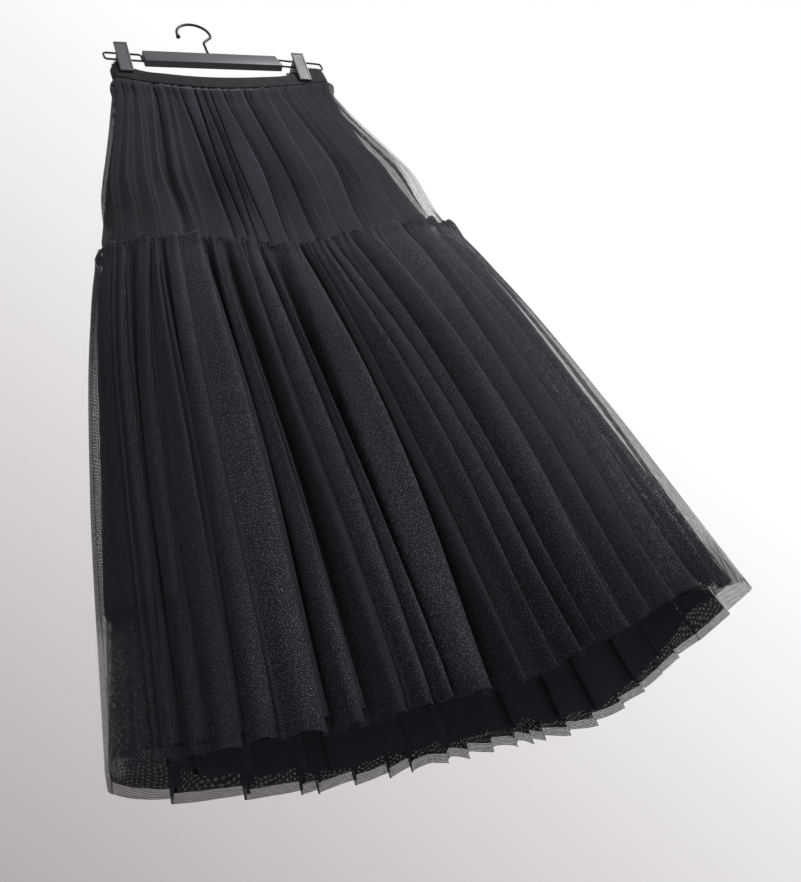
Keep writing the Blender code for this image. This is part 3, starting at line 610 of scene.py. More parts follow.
def band_outline(side, width_inset, depth_inset):
    """Half of the waistband's outline, pinched where the clips hold it."""
    half_width = BAND[-1].x
    turn = np.linspace(math.pi, 0.0, OUTLINE_STEPS)
    x = half_width * np.cos(turn)
    past_end = np.abs(x) - (half_width - BAND_END_RADIUS)
    rounding = np.sqrt(np.clip(1 - (past_end.clip(0) / BAND_END_RADIUS) ** 2, 0, 1))
    depth = (band_column("half_depth", x) - depth_inset) * rounding
    return x * (1 - width_inset / half_width), side * depth


print("waistband is", round(2 * BAND[-1].x, 3), "m wide")

# %% [markdown]
# An outline is a line of points, and cloth is measured along it. The next functions turn a
# place on it into a share of its length and back. Then come the heights: the seam dips a little
# left of the middle, and the hem tips up at the right of the front. A tier is the cloth between
# two outlines and two heights.

# %% Tiers
LOWER_BOW = 0.0014
HEM_RISES = {FRONT: 0.020, BACK: -0.020}
RISE_PEAK = 4 / 27
SEAM_DIP = 0.018
SEAM_DIP_MIDDLE = -0.12
SEAM_DIP_SPREAD = 0.30
BAND_GAP = 0.0008


def run_up(steps):
    """Lengths added up one after the other, from zero."""
    return np.concatenate(([0.0], np.cumsum(steps)))


def along_outline(x, y):
    """The fraction of its length at each point of a half outline."""
    length = run_up(np.hypot(np.diff(x), np.diff(y)))
    return length / length[-1]


def outline_length(x, y):
    """The length of a half outline."""
    return float(np.sum(np.hypot(np.diff(x), np.diff(y))))


def read_outline(outline, fractions):
    """Points at the given fractions of a half outline's length."""
    x, y = outline
    places = along_outline(x, y)
    return np.interp(fractions, places, x), np.interp(fractions, places, y)


def fraction_at(outline, reach):
    """Turn places given as parts of the half width into fractions of the outline."""
    x, y = outline
    centre = 0.5 * (x[0] + x[-1])
    return np.interp(centre + np.asarray(reach) * (x[-1] - centre), x, along_outline(x, y))


def band_foot_z(x, _side):
    """Height of the waistband's lower edge, and of what hangs just under it."""
    return CORNER_Z + band_column("foot", np.clip(x, BAND[0].x, BAND[-1].x)) - BAND_GAP


def seam_z(x, _side):
    """Height of the seam between the tiers, which dips a little left of the middle."""
    off_middle = (x / SEAM.half_width - SEAM_DIP_MIDDLE) / SEAM_DIP_SPREAD
    return level_height(SEAM, x) - SEAM_DIP * np.exp(-(off_middle**2))


def hem_z(x, side):
    """Height of the hem, whose right half tips up at the front."""
    along = np.clip((x - HEM.centre_x) / HEM.half_width, 0, 1)
    return level_height(HEM, x) + HEM_RISES[side] * (along * (1 - along**2)) ** 2 / RISE_PEAK


# Places are the heights at which the fold tables give the edges of a tier's flutes.
Tier = namedtuple("Tier", "top foot top_z foot_z bow places")
seam_outline = partial(level_outline, SEAM)
hem_outline = partial(level_outline, HEM)
UPPER_TIER = Tier(band_outline, seam_outline, band_foot_z, seam_z, 0.0, (0.10, 0.50, 0.90))
LOWER_TIER = Tier(seam_outline, hem_outline, seam_z, hem_z, LOWER_BOW, (0.05, 0.40, 0.95))
print("seam is", round(outline_length(*seam_outline(FRONT, 0.0, 0.0)), 3), "m along the front")

# %% [markdown]
# A fold is a flute: a band of cloth that stands near the outer ring, between a soft edge where
# it rises and a crisp edge where it turns under and drops into a trough. Both edges are placed
# near the top, about half way down and near the foot of a tier, as parts of its half width.
# The gap is how deep the trough beyond a flute is, lit is how much painted light its cloth
# gets, and lean is 1 where the crisp edge is the right one. No two flutes have the same width,
# depth or slant, as in cloth that was gathered by hand.

# %% Flutes of the front
Flute = namedtuple("Flute", "left right gap lit lean", defaults=(1,))
UPPER_FLUTES = (
    Flute((-0.985, -0.980, -0.975), (-0.955, -0.945, -0.940), 0.30, 0.35),
    Flute((-0.930, -0.920, -0.915), (-0.865, -0.850, -0.833), 0.35, 0.60),
    Flute((-0.850, -0.830, -0.815), (-0.790, -0.750, -0.740), 0.25, 0.60),
    Flute((-0.770, -0.730, -0.715), (-0.690, -0.668, -0.620), 1.00, 0.85),
    Flute((-0.665, -0.622, -0.590), (-0.600, -0.588, -0.560), 0.20, 0.60),
    Flute((-0.590, -0.570, -0.545), (-0.545, -0.515, -0.505), 0.55, 0.85),
    Flute((-0.530, -0.490, -0.480), (-0.485, -0.405, -0.388), 0.95, 0.60),
    Flute((-0.445, -0.388, -0.365), (-0.363, -0.343, -0.320), 0.95, 0.70),
    Flute((-0.340, -0.322, -0.300), (-0.293, -0.270, -0.274), 0.85, 0.75),
    Flute((-0.275, -0.255, -0.258), (-0.233, -0.228, -0.213), 0.85, 0.75),
    Flute((-0.205, -0.205, -0.190), (-0.120, -0.094, -0.108), 0.80, 0.70),
    Flute((-0.100, -0.078, -0.090), (-0.062, -0.047, -0.050), 0.60, 0.65),
    Flute((-0.040, -0.030, -0.030), (0.055, 0.045, 0.037), 0.60, 0.60),
    Flute((0.066, 0.056, 0.046), (0.093, 0.070, 0.062), 0.90, 0.45),
    Flute((0.110, 0.088, 0.080), (0.165, 0.130, 0.115), 0.30, 0.45),
    Flute((0.180, 0.145, 0.130), (0.272, 0.213, 0.197), 0.80, 0.75),
    Flute((0.290, 0.235, 0.220), (0.395, 0.380, 0.343), 1.00, 0.58),
    Flute((0.415, 0.400, 0.365), (0.470, 0.430, 0.400), 0.50, 0.30),
    Flute((0.485, 0.445, 0.420), (0.575, 0.500, 0.492), 0.90, 0.42),
    Flute((0.592, 0.520, 0.510), (0.670, 0.620, 0.620), 0.20, 0.36),
    Flute((0.685, 0.635, 0.635), (0.755, 0.715, 0.735), 0.60, 0.40),
    Flute((0.772, 0.733, 0.752), (0.835, 0.820, 0.830), 0.45, 0.45),
    Flute((0.850, 0.840, 0.846), (0.910, 0.900, 0.900), 0.40, 0.45),
    Flute((0.925, 0.918, 0.920), (0.968, 0.964, 0.964), 0.25, 0.40),
)
LOWER_FLUTES = (
    Flute((-0.980, -0.978, -0.976), (-0.930, -0.918, -0.905), 0.20, 0.15),
    Flute((-0.920, -0.905, -0.892), (-0.885, -0.880, -0.868), 0.80, 0.12),
    Flute((-0.835, -0.850, -0.842), (-0.775, -0.806, -0.800), 0.50, 0.15),
    Flute((-0.765, -0.790, -0.785), (-0.735, -0.716, -0.716), 0.80, 0.22),
    Flute((-0.700, -0.700, -0.698), (-0.636, -0.634, -0.624), 0.35, 0.62),
    Flute((-0.622, -0.620, -0.612), (-0.532, -0.497, -0.515), 1.00, 1.00),
    Flute((-0.492, -0.485, -0.470), (-0.456, -0.434, -0.414), 0.90, 0.65),
    Flute((-0.400, -0.378, -0.362), (-0.352, -0.345, -0.298), 0.45, 0.35),
    Flute((-0.336, -0.332, -0.286), (-0.280, -0.256, -0.229), 0.50, 0.75),
    Flute((-0.266, -0.244, -0.217), (-0.249, -0.224, -0.179), 1.00, 0.85),
    Flute((-0.147, -0.166, -0.166), (-0.080, -0.049, -0.065), 1.00, 0.95),
    Flute((-0.048, -0.034, -0.024), (-0.026, -0.004, 0.024), 0.60, 0.20),
    Flute((0.020, 0.060, 0.076), (0.056, 0.105, 0.120), 0.60, 0.75),
    Flute((0.072, 0.116, 0.152), (0.105, 0.176, 0.204), 0.60, 0.70),
    Flute((0.156, 0.188, 0.216), (0.200, 0.235, 0.247), 0.95, 0.70),
    Flute((0.290, 0.314, 0.310), (0.350, 0.387, 0.375), 0.35, 0.75),
    Flute((0.392, 0.400, 0.396), (0.540, 0.490, 0.460), 0.60, 0.60),
    Flute((0.556, 0.506, 0.490), (0.600, 0.600, 0.575), 0.40, 0.40),
    Flute((0.612, 0.606, 0.587), (0.695, 0.690, 0.686), 0.50, 0.85),
    Flute((0.706, 0.702, 0.702), (0.770, 0.775, 0.745), 0.50, 0.80),
    Flute((0.784, 0.788, 0.760), (0.845, 0.855, 0.815), 0.35, 1.00),
    Flute((0.860, 0.872, 0.840), (0.930, 0.950, 0.930), 0.15, 0.90),
)
print("front flutes:", len(UPPER_FLUTES), "above and", len(LOWER_FLUTES), "below the seam")

# %% [markdown]
# The lower tier's back is pressed into flat pleats. Their crisp edges end in corners in the
# hem, which the table gives. Left of the middle they face left, and right of it they face
# right. The other hidden folds are even ones, which drift a little in place and width.

# %% Pleats and even folds
LEFT_CORNERS = (-0.982, -0.835, -0.627, -0.467, -0.417, -0.300, -0.190, -0.115)
RIGHT_CORNERS = (0.005, 0.079, 0.165, 0.252, 0.311, 0.356, 0.449, 0.555, 0.666, 0.755, 0.833, 0.900, 0.964)
PLEAT_SLIT = 0.006
PLEAT_GAP = 0.20
# The painted light of the back's pleats and of the even folds.
PLAIN_PAINTED_LIGHT = 0.45

BACK_UPPER_FOLDS = 16
UNDER_FOLDS = 13
LINING_FOLDS = 7
EVEN_GAP = 0.9
DRIFT_PLACES = (0.0, 0.4, 1.0)
Wave = namedtuple("Wave", "size turn")
SWAY = Wave(0.30, 2.4)
DRIFT = Wave(0.22, 1.7)
SPREAD = Wave(0.24, 2.9)


def pressed_flutes():
    """The flat pleats of the back, from the corners in the hem."""
    middle = 0.5 * (LEFT_CORNERS[-1] + RIGHT_CORNERS[0])
    flutes = []
    for corner, after in zip(LEFT_CORNERS, (*LEFT_CORNERS[1:], middle)):
        flutes.append(Flute((corner,) * 3, (after - PLEAT_SLIT,) * 3, PLEAT_GAP, PLAIN_PAINTED_LIGHT, -1))
    for before, corner in zip((middle, *RIGHT_CORNERS), RIGHT_CORNERS):
        flutes.append(Flute((before + PLEAT_SLIT,) * 3, (corner,) * 3, PLEAT_GAP, PLAIN_PAINTED_LIGHT, 1))
    return tuple(flutes)


def even_flutes(count, shift, width=0.62):
    """Flutes spread evenly over a panel, with slow uneven drifts of place and width."""
    flutes = []
    for number in range(count):
        middle = 2 * (number + 0.5) / count - 1 + SWAY.size / count * math.sin(SWAY.turn * number + shift)
        half = width / count * (1 + SPREAD.size * math.sin(SPREAD.turn * number + shift))
        drift = DRIFT.size / count * math.sin(DRIFT.turn * number + 2 * shift)
        places = [middle + drift * part for part in DRIFT_PLACES]
        left = tuple(place - half for place in places)
        right = tuple(place + half for place in places)
        flutes.append(Flute(left, right, EVEN_GAP, PLAIN_PAINTED_LIGHT, 1 if middle > 0 else -1))
    return tuple(flutes)


print("back pleats:", len(pressed_flutes()))

# %% [markdown]
# A panel lies between two rings at every height, one for its crests and one for its troughs. A
# row says how far down the tier it is, how far inside the outline the crests and the troughs
# lie, at the middle and at the side seams, and how far the left and right ends are drawn in.

# %% Rings of the panels
Row = namedtuple("Row", "down crest side_crest valley side_valley left right", defaults=(0.0, 0.0))
UPPER_ROWS = (
    Row(-0.010, 0.0029, 0.0029, 0.0034, 0.0033),
    Row(0.00, 0.0000, 0.0000, 0.0020, 0.0018),
    Row(0.10, -0.0010, -0.0010, 0.0045, 0.0028, 0.001, 0.011),
    Row(0.22, -0.0015, -0.0020, 0.0060, 0.0036, 0.002, 0.009),
    Row(0.45, -0.0025, -0.0060, 0.0075, 0.0010, 0.006, 0.002),
    Row(0.60, -0.0035, -0.0090, 0.0085, 0.0000, 0.009),
    Row(0.95, 0.0047, 0.0047, 0.0086, 0.0076, 0.005),
    Row(1.00, 0.0047, 0.0047, 0.0080, 0.0070, 0.004),
)
LOWER_ROWS = (
    Row(0.000, 0.0030, 0.0030, 0.0036, 0.0034, 0.004),
    Row(0.012, -0.0012, -0.0012, 0.0060, 0.0050, 0.004),
    Row(0.030, -0.0030, -0.0026, 0.0078, 0.0056, 0.004),
    Row(0.180, -0.0085, -0.0085, 0.0125, 0.0060, 0.003),
    Row(0.550, -0.0080, -0.0080, 0.0205, 0.0080),
    Row(1.000, 0.0000, 0.0030, 0.0258, 0.0100),
)
SECOND_ROWS = (
    Row(0.025, 0.0075, 0.0060, 0.0098, 0.0080, 0.004, 0.004),
    Row(0.060, 0.0010, 0.0020, 0.0112, 0.0090, 0.004, 0.005),
    Row(0.180, -0.0050, -0.0010, 0.0145, 0.0140, 0.004, 0.006),
    Row(0.550, -0.0045, 0.0040, 0.0222, 0.0200, 0.001, 0.012),
    Row(0.920, 0.0025, 0.0060, 0.0270, 0.0240, 0.000, 0.026),
    Row(0.978, 0.0035, 0.0080, 0.0276, 0.0250, 0.000, 0.026),
)
SECOND_BACK_FOOT = (
    Row(0.945, 0.0030, 0.0050, 0.0272, 0.0240, 0.000, 0.002),
    Row(0.986, 0.0035, 0.0050, 0.0276, 0.0250, 0.000, 0.000),
)
UNDER_ROWS = (
    Row(0.020, 0.0104, 0.0090, 0.0122, 0.0100, 0.000, 0.020),
    Row(0.180, 0.0165, 0.0095, 0.0240, 0.0120, -0.008, 0.034),
    Row(0.550, 0.0240, 0.0115, 0.0360, 0.0150, -0.010, 0.046),
    Row(0.745, 0.0265, 0.0120, 0.0390, 0.0160, -0.009, 0.050),
    Row(0.762, 0.0272, 0.0125, 0.0400, 0.0165, 0.038, 0.050),
    Row(0.984, 0.0300, 0.0140, 0.0440, 0.0180, 0.044, 0.046),
)
LINING_UPPER_ROWS = (
    Row(0.000, 0.0036, 0.0036, 0.0036, 0.0036),
    Row(0.220, 0.0100, 0.0076, 0.0100, 0.0076, -0.002, 0.008),
    Row(0.600, 0.0115, 0.0100, 0.0115, 0.0100, -0.006, 0.008),
    Row(0.900, 0.0124, 0.0110, 0.0124, 0.0110, -0.005, 0.016),
)
LINING_LOWER_ROWS = (
    Row(0.020, 0.0130, 0.0112, 0.0130, 0.0112, 0.000, 0.028),
    Row(0.180, 0.0290, 0.0160, 0.0300, 0.0160, -0.008, 0.038),
    Row(0.740, 0.0440, 0.0200, 0.0460, 0.0200, -0.009, 0.054),
)
print("rings:", len(UPPER_ROWS), "above and", len(LOWER_ROWS), "below the seam")

# %% [markdown]
# A panel of net is a grid: columns run along the panel and rows down it. Each flute has the
# same number of columns, and seven knots say where they lie: out of the last trough, up to the
# soft edge, over the crest, round the crisp edge, back under it and into the next trough. The
# curve through the knots may double back, so that a flute overlaps its trough as hanging cloth
# does.

# %% Knots of a flute
FOLD_KNOTS = (0.0, 0.14, 0.30, 0.55, 0.80, 0.90, 1.0)
TROUGH_SHARE = 0.35
OVERLAP = 0.36
WIDEST_OVERLAP = 0.012
CALM_FOLDS = 0.15


def ramp(value, start, width):
    """Rises from 0 to 1 over a width, and stays level before and after."""
    return np.clip((value - start) / width, 0, 1)


def fold_weights(steps, lean):
    """How much each knot of a flute weighs at each of its columns."""
    places = np.arange(steps) / steps
    places = places if lean > 0 else 1 - places
    return np.stack([smooth_through(FOLD_KNOTS, unit, places) for unit in np.eye(len(FOLD_KNOTS))], axis=1)


def along_flutes(knots, flutes, steps, last):
    """Read values at the knots of every flute at all of its columns, and add the last one."""
    weights = {lean: fold_weights(steps, lean) for lean in (1, -1)}
    columns = [weights[flute.lean] @ row for flute, row in zip(flutes, knots)]
    return np.append(np.concatenate(columns), last)


def lift_knots(lean, gap, slope, roll, tube):
    """How far out the knots of each flute stand, from 0 deep in a trough to 1 on the crest."""
    depth_before = np.concatenate(([0.0], gap[:-1]))
    start = np.where(lean > 0, 1 - depth_before, 1 - gap)
    end = np.where(lean > 0, 1 - gap, 1 - depth_before)
    shoulder = np.full(len(gap), 0.86 - 0.5 * slope - 0.25 * tube)
    rising = 0.45 * start + 0.55 * shoulder
    crest = 0.5 * shoulder + 0.5 + 0.5 * tube
    crisp = np.full(len(gap), 0.98 - roll - tube)
    under = 0.5 * end + 0.5 * (crisp - 0.08)
    return np.clip(np.stack([start, rising, shoulder, crest, crisp, under, end], axis=1), 0.0, 1.0)


def painted_tone_knots(lean, gap, lit):
    """Painted light of each flute's knots: painted shade in the troughs, a painted highlight at the crisp
    edge.
    """
    start = lift_knots(lean, gap, 0.0, 0.0, 0.0)[:, 0]
    tones = [0.25 * lit * start, 0.45 * lit, 0.80 * lit, lit, 1.15 * lit + 0.10, 0.1 * lit, 0 * lit]
    return np.stack(tones, axis=1)


def reach_knots(left, right, lean, gap):
    """Where the knots of each flute lie across the panel, and how wide its stretch is."""
    share = np.where(lean[:-1] > 0, TROUGH_SHARE, 1 - TROUGH_SHARE)
    between = right[:-1] + share * (left[1:] - right[:-1])
    before = np.concatenate(([-1.0], between))
    after = np.concatenate((between, [1.0]))
    start, end = np.where(lean > 0, (before, after), (after, before))
    soft, crisp = np.where(lean > 0, (left, right), (right, left))
    overlap = np.minimum(OVERLAP * (gap - 0.2).clip(0) * np.abs(crisp - soft), WIDEST_OVERLAP)
    under = crisp - lean * overlap * ramp(1 - np.abs(crisp), 0, CALM_FOLDS)
    knots = [start, 0.5 * (start + soft), soft, 0.45 * soft + 0.55 * crisp, crisp, under, end]
    return np.stack(knots, axis=1), after - before


print("knots in a flute:", len(FOLD_KNOTS))

# %% [markdown]
# Cloth that was gathered by hand is uneven. Ripples, the gathers under a seam, a slight wander
# of each flute and a ragged foot come from one seeded generator, and a look sets their sizes
# for a panel. Where the lower tier is gathered into the seam its flutes are pinched together.

# %% Uneven folds
PINCH = {FRONT: 0.34, BACK: 0.15}
PINCH_REACH = 0.022
GATHER_REACH = 0.30
GATHER_WAVES = 5
DOME_WIDTH = 0.08

# How a panel is drawn: columns in a flute, rows, and how tightly the rows are packed at the
# top; how far the soft side of a flute slopes, how far its crisp edge rolls under, and how much
# rounder it is at the foot; the depth of the ripples and of the gathers; the wander of a flute
# as a part of its width, the unevenness of the foot, the height of the domes, and the seed.
Look = namedtuple("Look", "steps rows packing slope roll tube ripple gathers wander ragged dome seed")


def draw_chances(look, flutes, fold_of):
    """The uneven sizes and starts of a panel's waves, drawn in this order from one seed."""
    chance = np.random.default_rng(look.seed)
    whole_turn = 2 * math.pi
    wide = np.array([flute.right[0] - flute.left[0] for flute in flutes])

    def draw(low, high):
        return chance.uniform(low, high, len(flutes))

    return SimpleNamespace(
        ripple_size=look.ripple * draw(0.3, 1.0)[fold_of],
        ripple_turns=chance.choice([2.0, 3.0, 4.0, 5.0], len(flutes))[fold_of],
        ripple_start=draw(0, whole_turn)[fold_of],
        ripple_twist=draw(-6.0, 6.0)[fold_of],
        wander_start=draw(0, whole_turn),
        wander_turns=draw(3.0, 8.0),
        wander_size=look.wander * draw(0.3, 1.0),
        gather_start=draw(0, whole_turn)[fold_of],
        ragged_start=draw(0, whole_turn)[fold_of],
        dome_size=(look.dome * draw(0.3, 1.25) * np.clip(wide / DOME_WIDTH, 0.1, 1.1))[fold_of],
        painted_tone_start=draw(0, whole_turn)[fold_of],
    )


def flute_edges(flutes, tier, side, look, chances, down):
    """Left and right edges of all flutes at one height, pinched under the seam and wandering."""
    edges = []
    for column in ("left", "right"):
        table = np.array([getattr(flute, column) for flute in flutes])
        edges.append(np.array([smooth_through(tier.places, row, np.array([down]))[0] for row in table]))
    left, right = edges
    if look.dome > 0:
        squeeze = 0.5 * PINCH[side] * math.exp(-down / PINCH_REACH) * (right - left)
        left, right = left + squeeze, right - squeeze
    wander = np.sin(chances.wander_start + chances.wander_turns * down) * chances.wander_size * (right - left)
    return left + wander, right + wander


def sink(look, chances, phase, lift, at_sides, depth, widest, down):
    """How far each point lies from the crests' ring, 0, to the troughs' ring, 1."""
    sunk = (1 - lift) * np.clip(widest / depth, 0, 1) * at_sides
    settled = min(1.0, 0.15 + down * 3)
    turned = chances.ripple_turns * math.pi * phase + chances.ripple_start + chances.ripple_twist * down
    ripple = np.sin(turned)
    sunk += settled * chances.ripple_size * (0.5 + 0.5 * ripple) * lift * at_sides / depth
    fading = max(0.0, 1 - down / GATHER_REACH) ** 1.5
    gather = np.sin(GATHER_WAVES * math.pi * phase + chances.gather_start + 2.0 * down)
    sunk += look.gathers * fading * (0.5 + 0.5 * gather) * at_sides / depth
    return np.clip(sunk, 0, 1)


print("a look sets:", *Look._fields)

# %% [markdown]
# The tables of rings have only a few rows. A smooth curve through them gives every row of the
# grid its own ring, and each point on a ring is found by its share of the outline's length.

# %% Rows of a panel
def panel_rows(rows, look):
    """The table's rows read at every height where the panel has points."""
    places = [row.down for row in rows]
    downs = places[0] + (places[-1] - places[0]) * np.linspace(0.0, 1.0, look.rows) ** look.packing
    columns = []
    for name in Row._fields[1:]:
        values = [getattr(row, name) for row in rows]
        if name in ("left", "right"):
            columns.append(np.interp(downs, places, values))
        else:
            columns.append(smooth_through(places, values, downs))
    return [Row(*numbers) for numbers in zip(downs, *columns)]


def outline_fractions(tier, side, reach, down):
    """Turn places across a panel into fractions of its outline at one height."""
    top, foot = (fraction_at(outline(side, 0.0, 0.0), reach) for outline in (tier.top, tier.foot))
    return (1 - down) * top + down * foot


def ring_at(tier, side, width_inset, depth_inset, mix, down):
    """The x and y of a ring of points at one height of a tier."""
    top = np.array(read_outline(tier.top(side, width_inset, depth_inset), mix))
    foot = np.array(read_outline(tier.foot(side, width_inset, depth_inset), mix))
    return (1 - down) * top + down * foot


print("rings of the lower tier:", len(LOWER_ROWS))

# %% [markdown]
# Two numbers go to the material with every point. Gather is high under a seam, where the net
# is drawn together, and below zero where it stands single: at both side edges, of which the
# right one widens downwards and closes near the foot, and in a veil at the left foot. Crest is
# the light and shade painted on a flute, with painted shade into the seam and the hem and a
# painted highlight on each dome under the seam.

# %% Gather and crest, the painted light
# Widths are shares of the outline's length, and heights are shares of the tier's.
LEAST_DRAWN = 0.10
HEM_DRAWN = 0.36
HEM_DRAWN_FROM = 0.90
SHEER_LEFT = 0.020
SHEER_RIGHT = (0.015, 0.135)
SHEER_FADE = 0.010
EDGE_LEFT = 0.6
EDGE_RIGHT = 1.9
SINGLE_FOOT = {FRONT: 0.97, BACK: 0.86}
WRAP = 0.915
VEIL_TOP = 0.755
VEIL_FOOT = {FRONT: 1.1, BACK: 0.975}
VEIL_WIDTH = {FRONT: 0.13, BACK: 0.06}
VEIL_OPEN = -0.75
# Painted shade at the seam, a painted highlight on the dome tips, painted shade at the hem, and the contrast
# of all the painted light.
SEAM_PAINTED_SHADE = 0.42
SEAM_REACH = 0.030
DOME_PAINTED_HIGHLIGHT = 0.35
DOME_HEIGHT = 0.010
HEM_PAINTED_SHADE = 0.45
PAINTED_TONE_CONTRAST = 2.0


def gathering(mix, down, side):
    """How the net is drawn together, above 0, or stands single and open, below 0."""
    drawn = LEAST_DRAWN + (1 - LEAST_DRAWN) * max(0.0, 1 - down / GATHER_REACH)
    if side == BACK:
        drawn += HEM_DRAWN * ramp(down, HEM_DRAWN_FROM, 0.05)
    foot = np.where(mix > WRAP, SINGLE_FOOT[BACK], SINGLE_FOOT[side])
    sheer = SHEER_RIGHT[0] * (1 - down) + SHEER_RIGHT[1] * down
    inside = ramp(mix, 0, SHEER_LEFT) * ramp(1 - mix, sheer, SHEER_FADE)
    opened = (1 - inside) * np.where(mix < 0.5, EDGE_LEFT, 1 - ramp(down, foot, 0.05))
    value = drawn * (1 - opened) - opened * np.where(mix < 0.5, 1.0, EDGE_RIGHT)
    if VEIL_TOP < down < VEIL_FOOT[side]:
        value = np.where(mix < VEIL_WIDTH[side], np.minimum(value, VEIL_OPEN), value)
    return value


def painted_light_and_shade(tier, tone, chances, lift, dome, down):
    """Painted light and shade of each point: painted shade at the seam and the hem, and a painted highlight
    on the domes.
    """
    # A slow waver of the painted light down each flute.
    shade = tone * (0.86 + 0.14 * np.sin(chances.painted_tone_start + 7.0 * down))
    if tier is LOWER_TIER:
        near_seam = math.exp(-down / SEAM_REACH)
        shade = shade * (1 - near_seam) + SEAM_PAINTED_SHADE * (0.3 + 0.7 * lift) * near_seam
        shade += DOME_PAINTED_HIGHLIGHT * dome / DOME_HEIGHT
        shade *= 1 - HEM_PAINTED_SHADE * ramp(down, 0.95, 0.05)
    return np.clip(shade, 0, 1) ** PAINTED_TONE_CONTRAST


print("gather at mid seam:", round(float(gathering(np.array([0.5]), 0.0, FRONT)[0]), 2))

# %% [markdown]
# Row by row, a panel's points are now laid down. The knots say where each column lies and how
# far it is sunk from the crests' ring to the troughs'. On top come the domes under the seam,
# the ragged foot, the teeth of the back's hem, and the ends that are drawn in.

# %% Points of a panel
TUBE_FROM = 0.55
CALM_RIGHT = 0.090
SIDE_CALM = (0.04, 0.07)
SHALLOWEST = 0.0001
TROUGH_SLOPE = 1.10
DOME_PEAK = 0.0060
DOME_LEAN = 0.7
TOOTH = {FRONT: 0.0, BACK: 0.0055}


def panel_points(tier, side, rows, flutes, even, look):
    """Points of a panel, rows by columns, with how gathered each is and its painted light."""
    count = len(flutes)
    lean, gap, lit = (np.array([getattr(flute, name) for flute in flutes]) for name in ("lean", "gap", "lit"))
    fold_of = np.append(np.repeat(np.arange(count), look.steps), count - 1)
    phase = np.append(np.tile(np.arange(look.steps) / look.steps, count), 1.0)
    toward_crisp = np.where(lean[fold_of] > 0, phase, 1 - phase)
    chances = draw_chances(look, flutes, fold_of)
    top_length, foot_length = (outline_length(*outline(side, 0.0, 0.0)) for outline in (tier.top, tier.foot))
    # The painted light and shade across the flutes.
    tone = along_flutes(painted_tone_knots(lean, gap, lit), flutes, look.steps, 0.4)

    points = []
    gathered = []
    painted_tones = []
    for row in panel_rows(rows, look):
        down = row.down
        left, right = flute_edges(flutes, tier, side, look, chances, down)
        tube = look.tube * ramp(down, TUBE_FROM, 1 - TUBE_FROM) ** 2
        lifts = lift_knots(lean, gap, look.slope, look.roll, tube)
        lift = np.clip(along_flutes(lifts, flutes, look.steps, 1.0), 0.0, 1.0)
        knots, wide = reach_knots(left, right, lean, gap)
        reach = np.clip(along_flutes(knots, flutes, look.steps, 1.0), -1.0, 1.0)
        mix = 0.5 + 0.5 * reach if even else outline_fractions(tier, side, reach, down)

        at_sides = ramp(mix, 0, SIDE_CALM[0]) * ramp(1 - mix, CALM_RIGHT * down, SIDE_CALM[1])
        depth = max(row.valley - row.crest, SHALLOWEST)
        length = (1 - down) * top_length + down * foot_length
        widest = 0.5 * wide[fold_of] * length * TROUGH_SLOPE
        sunk = sink(look, chances, phase, lift, at_sides, depth, widest, down)
        crests = ring_at(tier, side, row.side_crest, row.crest, mix, down)
        troughs = ring_at(tier, side, row.side_valley, row.valley, mix, down)
        x, y = crests * (1 - sunk) + troughs * sunk
        z = (1 - down) * tier.top_z(x, side) + down * tier.foot_z(x, side)

        dome = chances.dome_size * at_sides * lift**1.3 * down / DOME_PEAK * math.exp(1 - down / DOME_PEAK)
        z += dome
        y += side * DOME_LEAN * dome
        ragged = chances.ragged_start
        rag = np.sin(ragged + 2 * math.pi * phase) + np.sin(31.0 * mix + ragged[0])
        z += look.ragged * down**6 * rag - TOOTH[side] * down**16 * toward_crisp**2
        along = 2 * mix - 1
        x -= row.right * ramp(along, 0.3, 0.7) ** 2
        x += row.left * ramp(-along, 0.3, 0.7) ** 2
        x += SKIRT_X + tier.bow * 4 * down * (1 - down)
        points.append(np.stack([x, y, z], axis=1))
        gathered.append(gathering(mix, down, side))
        painted_tones.append(painted_light_and_shade(tier, tone, chances, lift, dome, down))
    return np.array(points), np.array(gathered), np.array(painted_tones)


print("deepest teeth of the back hem:", TOOTH[BACK], "m")

# %% [markdown]
# The points become a sheet. The grid operator makes its faces, and each vertex is then laid on
# its point. The UV map is the flat cloth in metres, so that the net's holes keep their size
# over every fold. A sheet is hung in place of the solids that it stands for.

# %% Cloth sheets
def flat_cut(points):
    """Where each point lies on the flat cloth: across by the foot's length, down by the mean."""
    across = run_up(np.linalg.norm(np.diff(points[-1], axis=0), axis=1))
    down = run_up(np.linalg.norm(np.diff(points, axis=0), axis=2).mean(axis=1))
    return across - across[-1] / 2, down


def store_values(mesh, **attributes):
    """Keep numbers on the points of a mesh, for its material to read."""
    for label, values in attributes.items():
        layer = mesh.attributes.new(label, "FLOAT", "POINT")
        layer.data.foreach_set("value", values.astype(np.float32))


